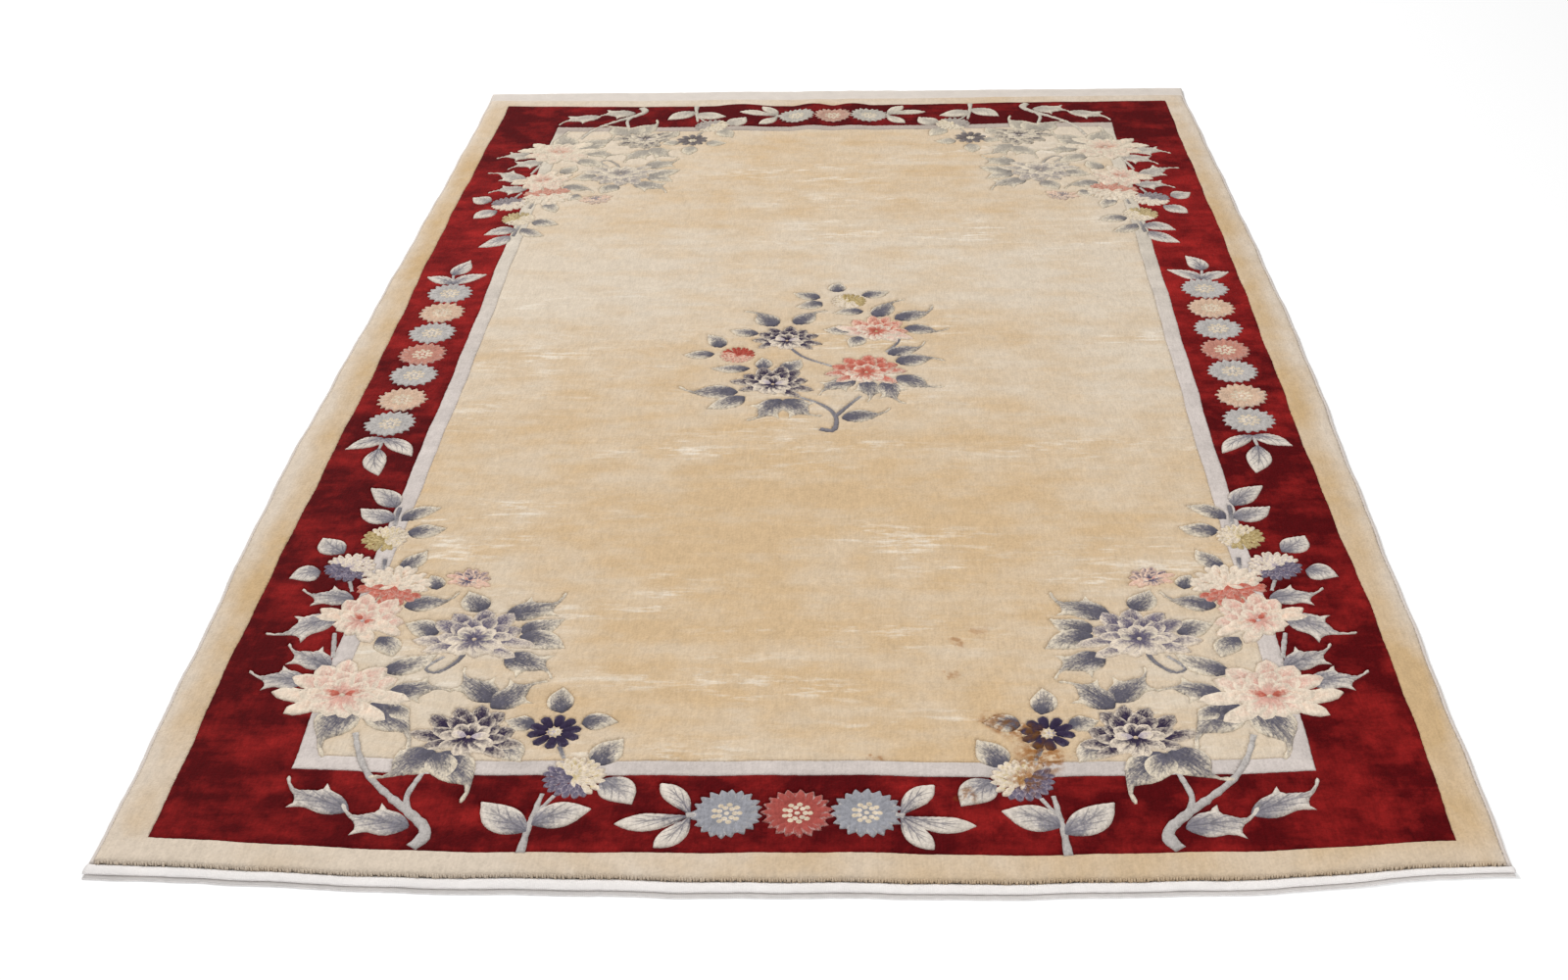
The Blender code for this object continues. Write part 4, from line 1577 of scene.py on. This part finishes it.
class RUG_OT_rim_tufts(bpy.types.Operator):
    """Sets the loose outer tufts along the four rims of the pile"""

    bl_idname = "rug.rim_tufts"
    bl_label = "Rim Tufts"

    def execute(self, context):
        hand = random.Random(11)
        points, faces = [], []
        rims = (
            ((-1, -1), (1, -1), (0, -1)), ((1, -1), (1, 1), (1, 0)),
            ((1, 1), (-1, 1), (0, 1)), ((-1, 1), (-1, -1), (-1, 0)),
        )
        half = np.array([PILE_HALF_WIDTH, PILE_HALF_LENGTH])
        for start, end, outward in rims:
            start, end, outward = (np.array(v, float) for v in (start, end, outward))
            run = (end - start) * half
            length = np.linalg.norm(run)
            run /= length
            at_end = abs(outward[1]) > 0.5
            feet, leans = (END_TUFT_FEET, END_TUFT_LEANS) if at_end else (SIDE_TUFT_FEET, SIDE_TUFT_LEANS)
            for k in range(int(length / TUFT_PITCH)):
                middle = start * half + run * (k + 0.5 + hand.uniform(-0.25, 0.25)) * TUFT_PITCH
                foot = hand.uniform(*feet)
                top = context.scene.rug_sizes.pile_height - hand.uniform(*TUFT_DROPS)
                lean = hand.uniform(*leans)
                wide = hand.uniform(*TUFT_WIDTHS)
                skew = hand.uniform(-TUFT_SKEW, TUFT_SKEW)
                first = len(points)
                for a, b, c in TUFT_CORNERS:
                    size = wide * (0.72 if c else 1.0)
                    out = -TUFT_ROOT + lean * (0.35 if c else 1.0) + b * size * 0.8
                    place = middle + run * (a * size + skew * c) + outward * out
                    floor = lay(*place)
                    rise = foot + (top - foot) * c + float(ripple(place[0], place[1]))
                    points.append((*floor, rise))
                faces += [tuple(first + corner for corner in face) for face in TUFT_FACES]
        obj = mesh_object("rim_tufts", points, faces, bpy.data.materials["cream_pile"])
        face_outwards(obj)
        fitted(obj, "pile", "pile_carpet")
        return {"FINISHED"}


def face_outwards(obj):
    """Turns every face of a closed mesh to point outwards."""
    bm = bmesh.new()
    bm.from_mesh(obj.data)
    bmesh.ops.recalc_face_normals(bm, faces=bm.faces)
    bm.to_mesh(obj.data)
    bm.free()


def swept(name, rings, material):
    """A closed mesh through rings of points, one ring for each station, flat at both ends."""
    stations, around = rings.shape[:2]
    faces = []
    for i in range(stations - 1):
        for k in range(around):
            after = (k + 1) % around
            faces.append((i * around + k, i * around + after, (i + 1) * around + after, (i + 1) * around + k))
    faces.append(tuple(range(around))[::-1])
    faces.append(tuple((stations - 1) * around + k for k in range(around)))
    obj = mesh_object(name, rings.reshape(-1, 3).tolist(), faces, material)
    face_outwards(obj)
    return obj


def thickened(line, thickness):
    """A closed ring about an open line: one face of the cloth out, and the other back."""
    way = np.gradient(line, axis=0)
    way /= np.linalg.norm(way, axis=1)[:, None]
    aside = np.stack([-way[:, 1], way[:, 0]], axis=1) * thickness / 2
    return np.vstack([line + aside, (line - aside)[::-1]])


class RUG_OT_end_webs(bpy.types.Operator):
    """Weaves the plain cotton webs beyond the pile, with their outer edges folded under"""

    bl_idname = "rug.end_webs"
    bl_label = "End Webs"

    def execute(self, context):
        corner = PILE_HALF_WIDTH + CORD_WIDTH
        webs = (("front", -1, FRONT_WEB_FOLD, FRONT_WEB_CUT), ("back", 1, BACK_WEB_FOLD, BACK_WEB_CUT))
        for end, sign, fold, cut in webs:
            rings = []
            usual = float(np.mean([row[END_COLUMNS.index("web_" + end)] for row in END_BOWS]))
            line = smooth_path([(share * usual, height) for share, height in fold])
            section = thickened(line, WEB_THICKNESS)
            for x in even_places(corner, STATION_STEP):
                width = float(along_table(END_BOWS, END_COLUMNS, "web_" + end, x))
                width += waves(x, sign, WEB_EDGE_WAVES)
                lift = float(ripple(x, sign * PILE_HALF_LENGTH))
                wave = waves(x, sign, WEB_TOP_WAVES)
                out = np.maximum(section[:, 0] * width / usual, 0.0)
                high = np.maximum(section[:, 1] + wave * section[:, 1] / 0.004, 0.0)
                floor = lay(np.full(len(out), x), sign * (PILE_HALF_LENGTH + PIECE_GAP + out))
                rings.append(np.column_stack([floor, high + lift]))
            obj = swept("end_web_cloth_" + end, np.array(rings), bpy.data.materials["web_cotton"])
            fitted(obj, "web", "end_web_" + end)
        return {"FINISHED"}


class RUG_OT_side_cords(bpy.types.Operator):
    """Overcasts the long sides with yarn wound round the edge"""

    bl_idname = "rug.side_cords"
    bl_label = "Side Cords"

    def execute(self, context):
        for side, sign in (("left", -1), ("right", 1)):
            rings = []
            section = np.array(CORD_SECTION)
            for k, y in enumerate(even_places(PILE_HALF_LENGTH, WRAP_PITCH / WRAP_STATIONS)):
                turn = (k % WRAP_STATIONS) / WRAP_STATIONS
                wrap = WRAP_DEPTH * (abs(math.cos(math.pi * turn)) - 1.0)
                wander = waves(y, sign, CORD_WAVES)
                out = section[:, 0] * CORD_WIDTH + np.where(section[:, 0] > 0.5, wrap + wander, 0.0)
                high = np.where(section[:, 1] > 0.002, section[:, 1] + wrap + wander, section[:, 1])
                across = sign * (PILE_HALF_WIDTH + PIECE_GAP + np.maximum(out, 0.0))
                floor = lay(across, np.full(len(out), y))
                rings.append(np.column_stack([floor, high]))
            obj = swept("side_cord_wraps_" + side, np.array(rings), bpy.data.materials["cord_yarn"])
            fitted(obj, "cord", "side_cord_" + side)
        return {"FINISHED"}


class RUG_OT_stage(bpy.types.Operator):
    """Sets the rug on a plain pale floor under soft studio light, with its camera"""

    bl_idname = "rug.stage"
    bl_label = "Floor, Light and Camera"

    def execute(self, context):
        deselect()
        bpy.ops.mesh.primitive_plane_add(size=FLOOR_SIZE, location=(0, 0, -0.0002))
        floor = context.object
        floor.name = "floor"
        _, shader = opened_material("pale_floor", 0.9, 0.0, 0.5)
        shader.inputs["Base Color"].default_value = FLOOR_TONE
        floor.data.materials.append(bpy.data.materials["pale_floor"])

        world = bpy.data.worlds.new("studio")
        world.use_nodes = True
        fill(world.node_tree.nodes["Background"], {"Color": (1.0, 1.0, 1.0, 1.0), "Strength": WORLD_LIGHT})
        context.scene.world = world
        for name, place, size, power in LAMPS:
            lamp = bpy.data.lights.new(name, "AREA")
            lamp.size = size
            lamp.energy = power
            obj = bpy.data.objects.new(name, lamp)
            obj.location = place
            obj.rotation_euler = (-Vector(place)).to_track_quat("-Z", "Y").to_euler()
            context.scene.collection.objects.link(obj)

        camera = bpy.data.cameras.new("camera")
        camera.lens = FOCAL_PX / FRAME_WIDTH_PX * SENSOR_WIDTH
        camera.sensor_width = SENSOR_WIDTH
        camera.sensor_fit = "HORIZONTAL"
        holder = bpy.data.objects.new("camera", camera)
        turn = (
            Matrix.Rotation(math.radians(CAMERA_TURN), 3, "Z")
            @ Matrix.Rotation(math.radians(CAMERA_TILT), 3, "X")
            @ Matrix.Rotation(math.radians(CAMERA_ROLL), 3, "Z")
        )
        holder.location = CAMERA_PLACE
        holder.rotation_euler = turn.to_euler()
        context.scene.collection.objects.link(holder)
        context.scene.camera = holder
        context.scene.view_settings.view_transform = "Standard"
        return {"FINISHED"}


OPERATORS = (
    RUG_OT_carved_pile, RUG_OT_rim_tufts, RUG_OT_foundation, RUG_OT_end_webs, RUG_OT_side_cords, RUG_OT_stage,
)


class RUG_PT_sidebar(bpy.types.Panel):
    """Lists the steps that make the rug"""

    bl_idname = "RUG_PT_sidebar"
    bl_label = "Carved Chinese Rug"
    bl_space_type = "VIEW_3D"
    bl_region_type = "UI"
    bl_category = "Rug"

    def draw(self, context):
        for settings in (context.scene.rug_sizes, context.scene.rug_colours):
            for name in settings.bl_rna.properties.keys():
                if name not in ("rna_type", "name"):
                    self.layout.prop(settings, name)
        for operator in OPERATORS:
            self.layout.operator(operator.bl_idname)


CLASSES = (RugSizes, RugColours) + OPERATORS + (RUG_PT_sidebar,)


def register():
    for cls in CLASSES:
        bpy.utils.register_class(cls)
    bpy.types.Scene.rug_sizes = PointerProperty(type=RugSizes)
    bpy.types.Scene.rug_colours = PointerProperty(type=RugColours)


def unregister():
    del bpy.types.Scene.rug_colours
    del bpy.types.Scene.rug_sizes
    for cls in reversed(CLASSES):
        bpy.utils.unregister_class(cls)


def main():
    register()
    bpy.ops.rug.carved_pile()
    bpy.ops.rug.rim_tufts()
    bpy.ops.rug.foundation()
    bpy.ops.rug.end_webs()
    bpy.ops.rug.side_cords()
    bpy.ops.rug.stage()


if __name__ == "__main__":
    main()
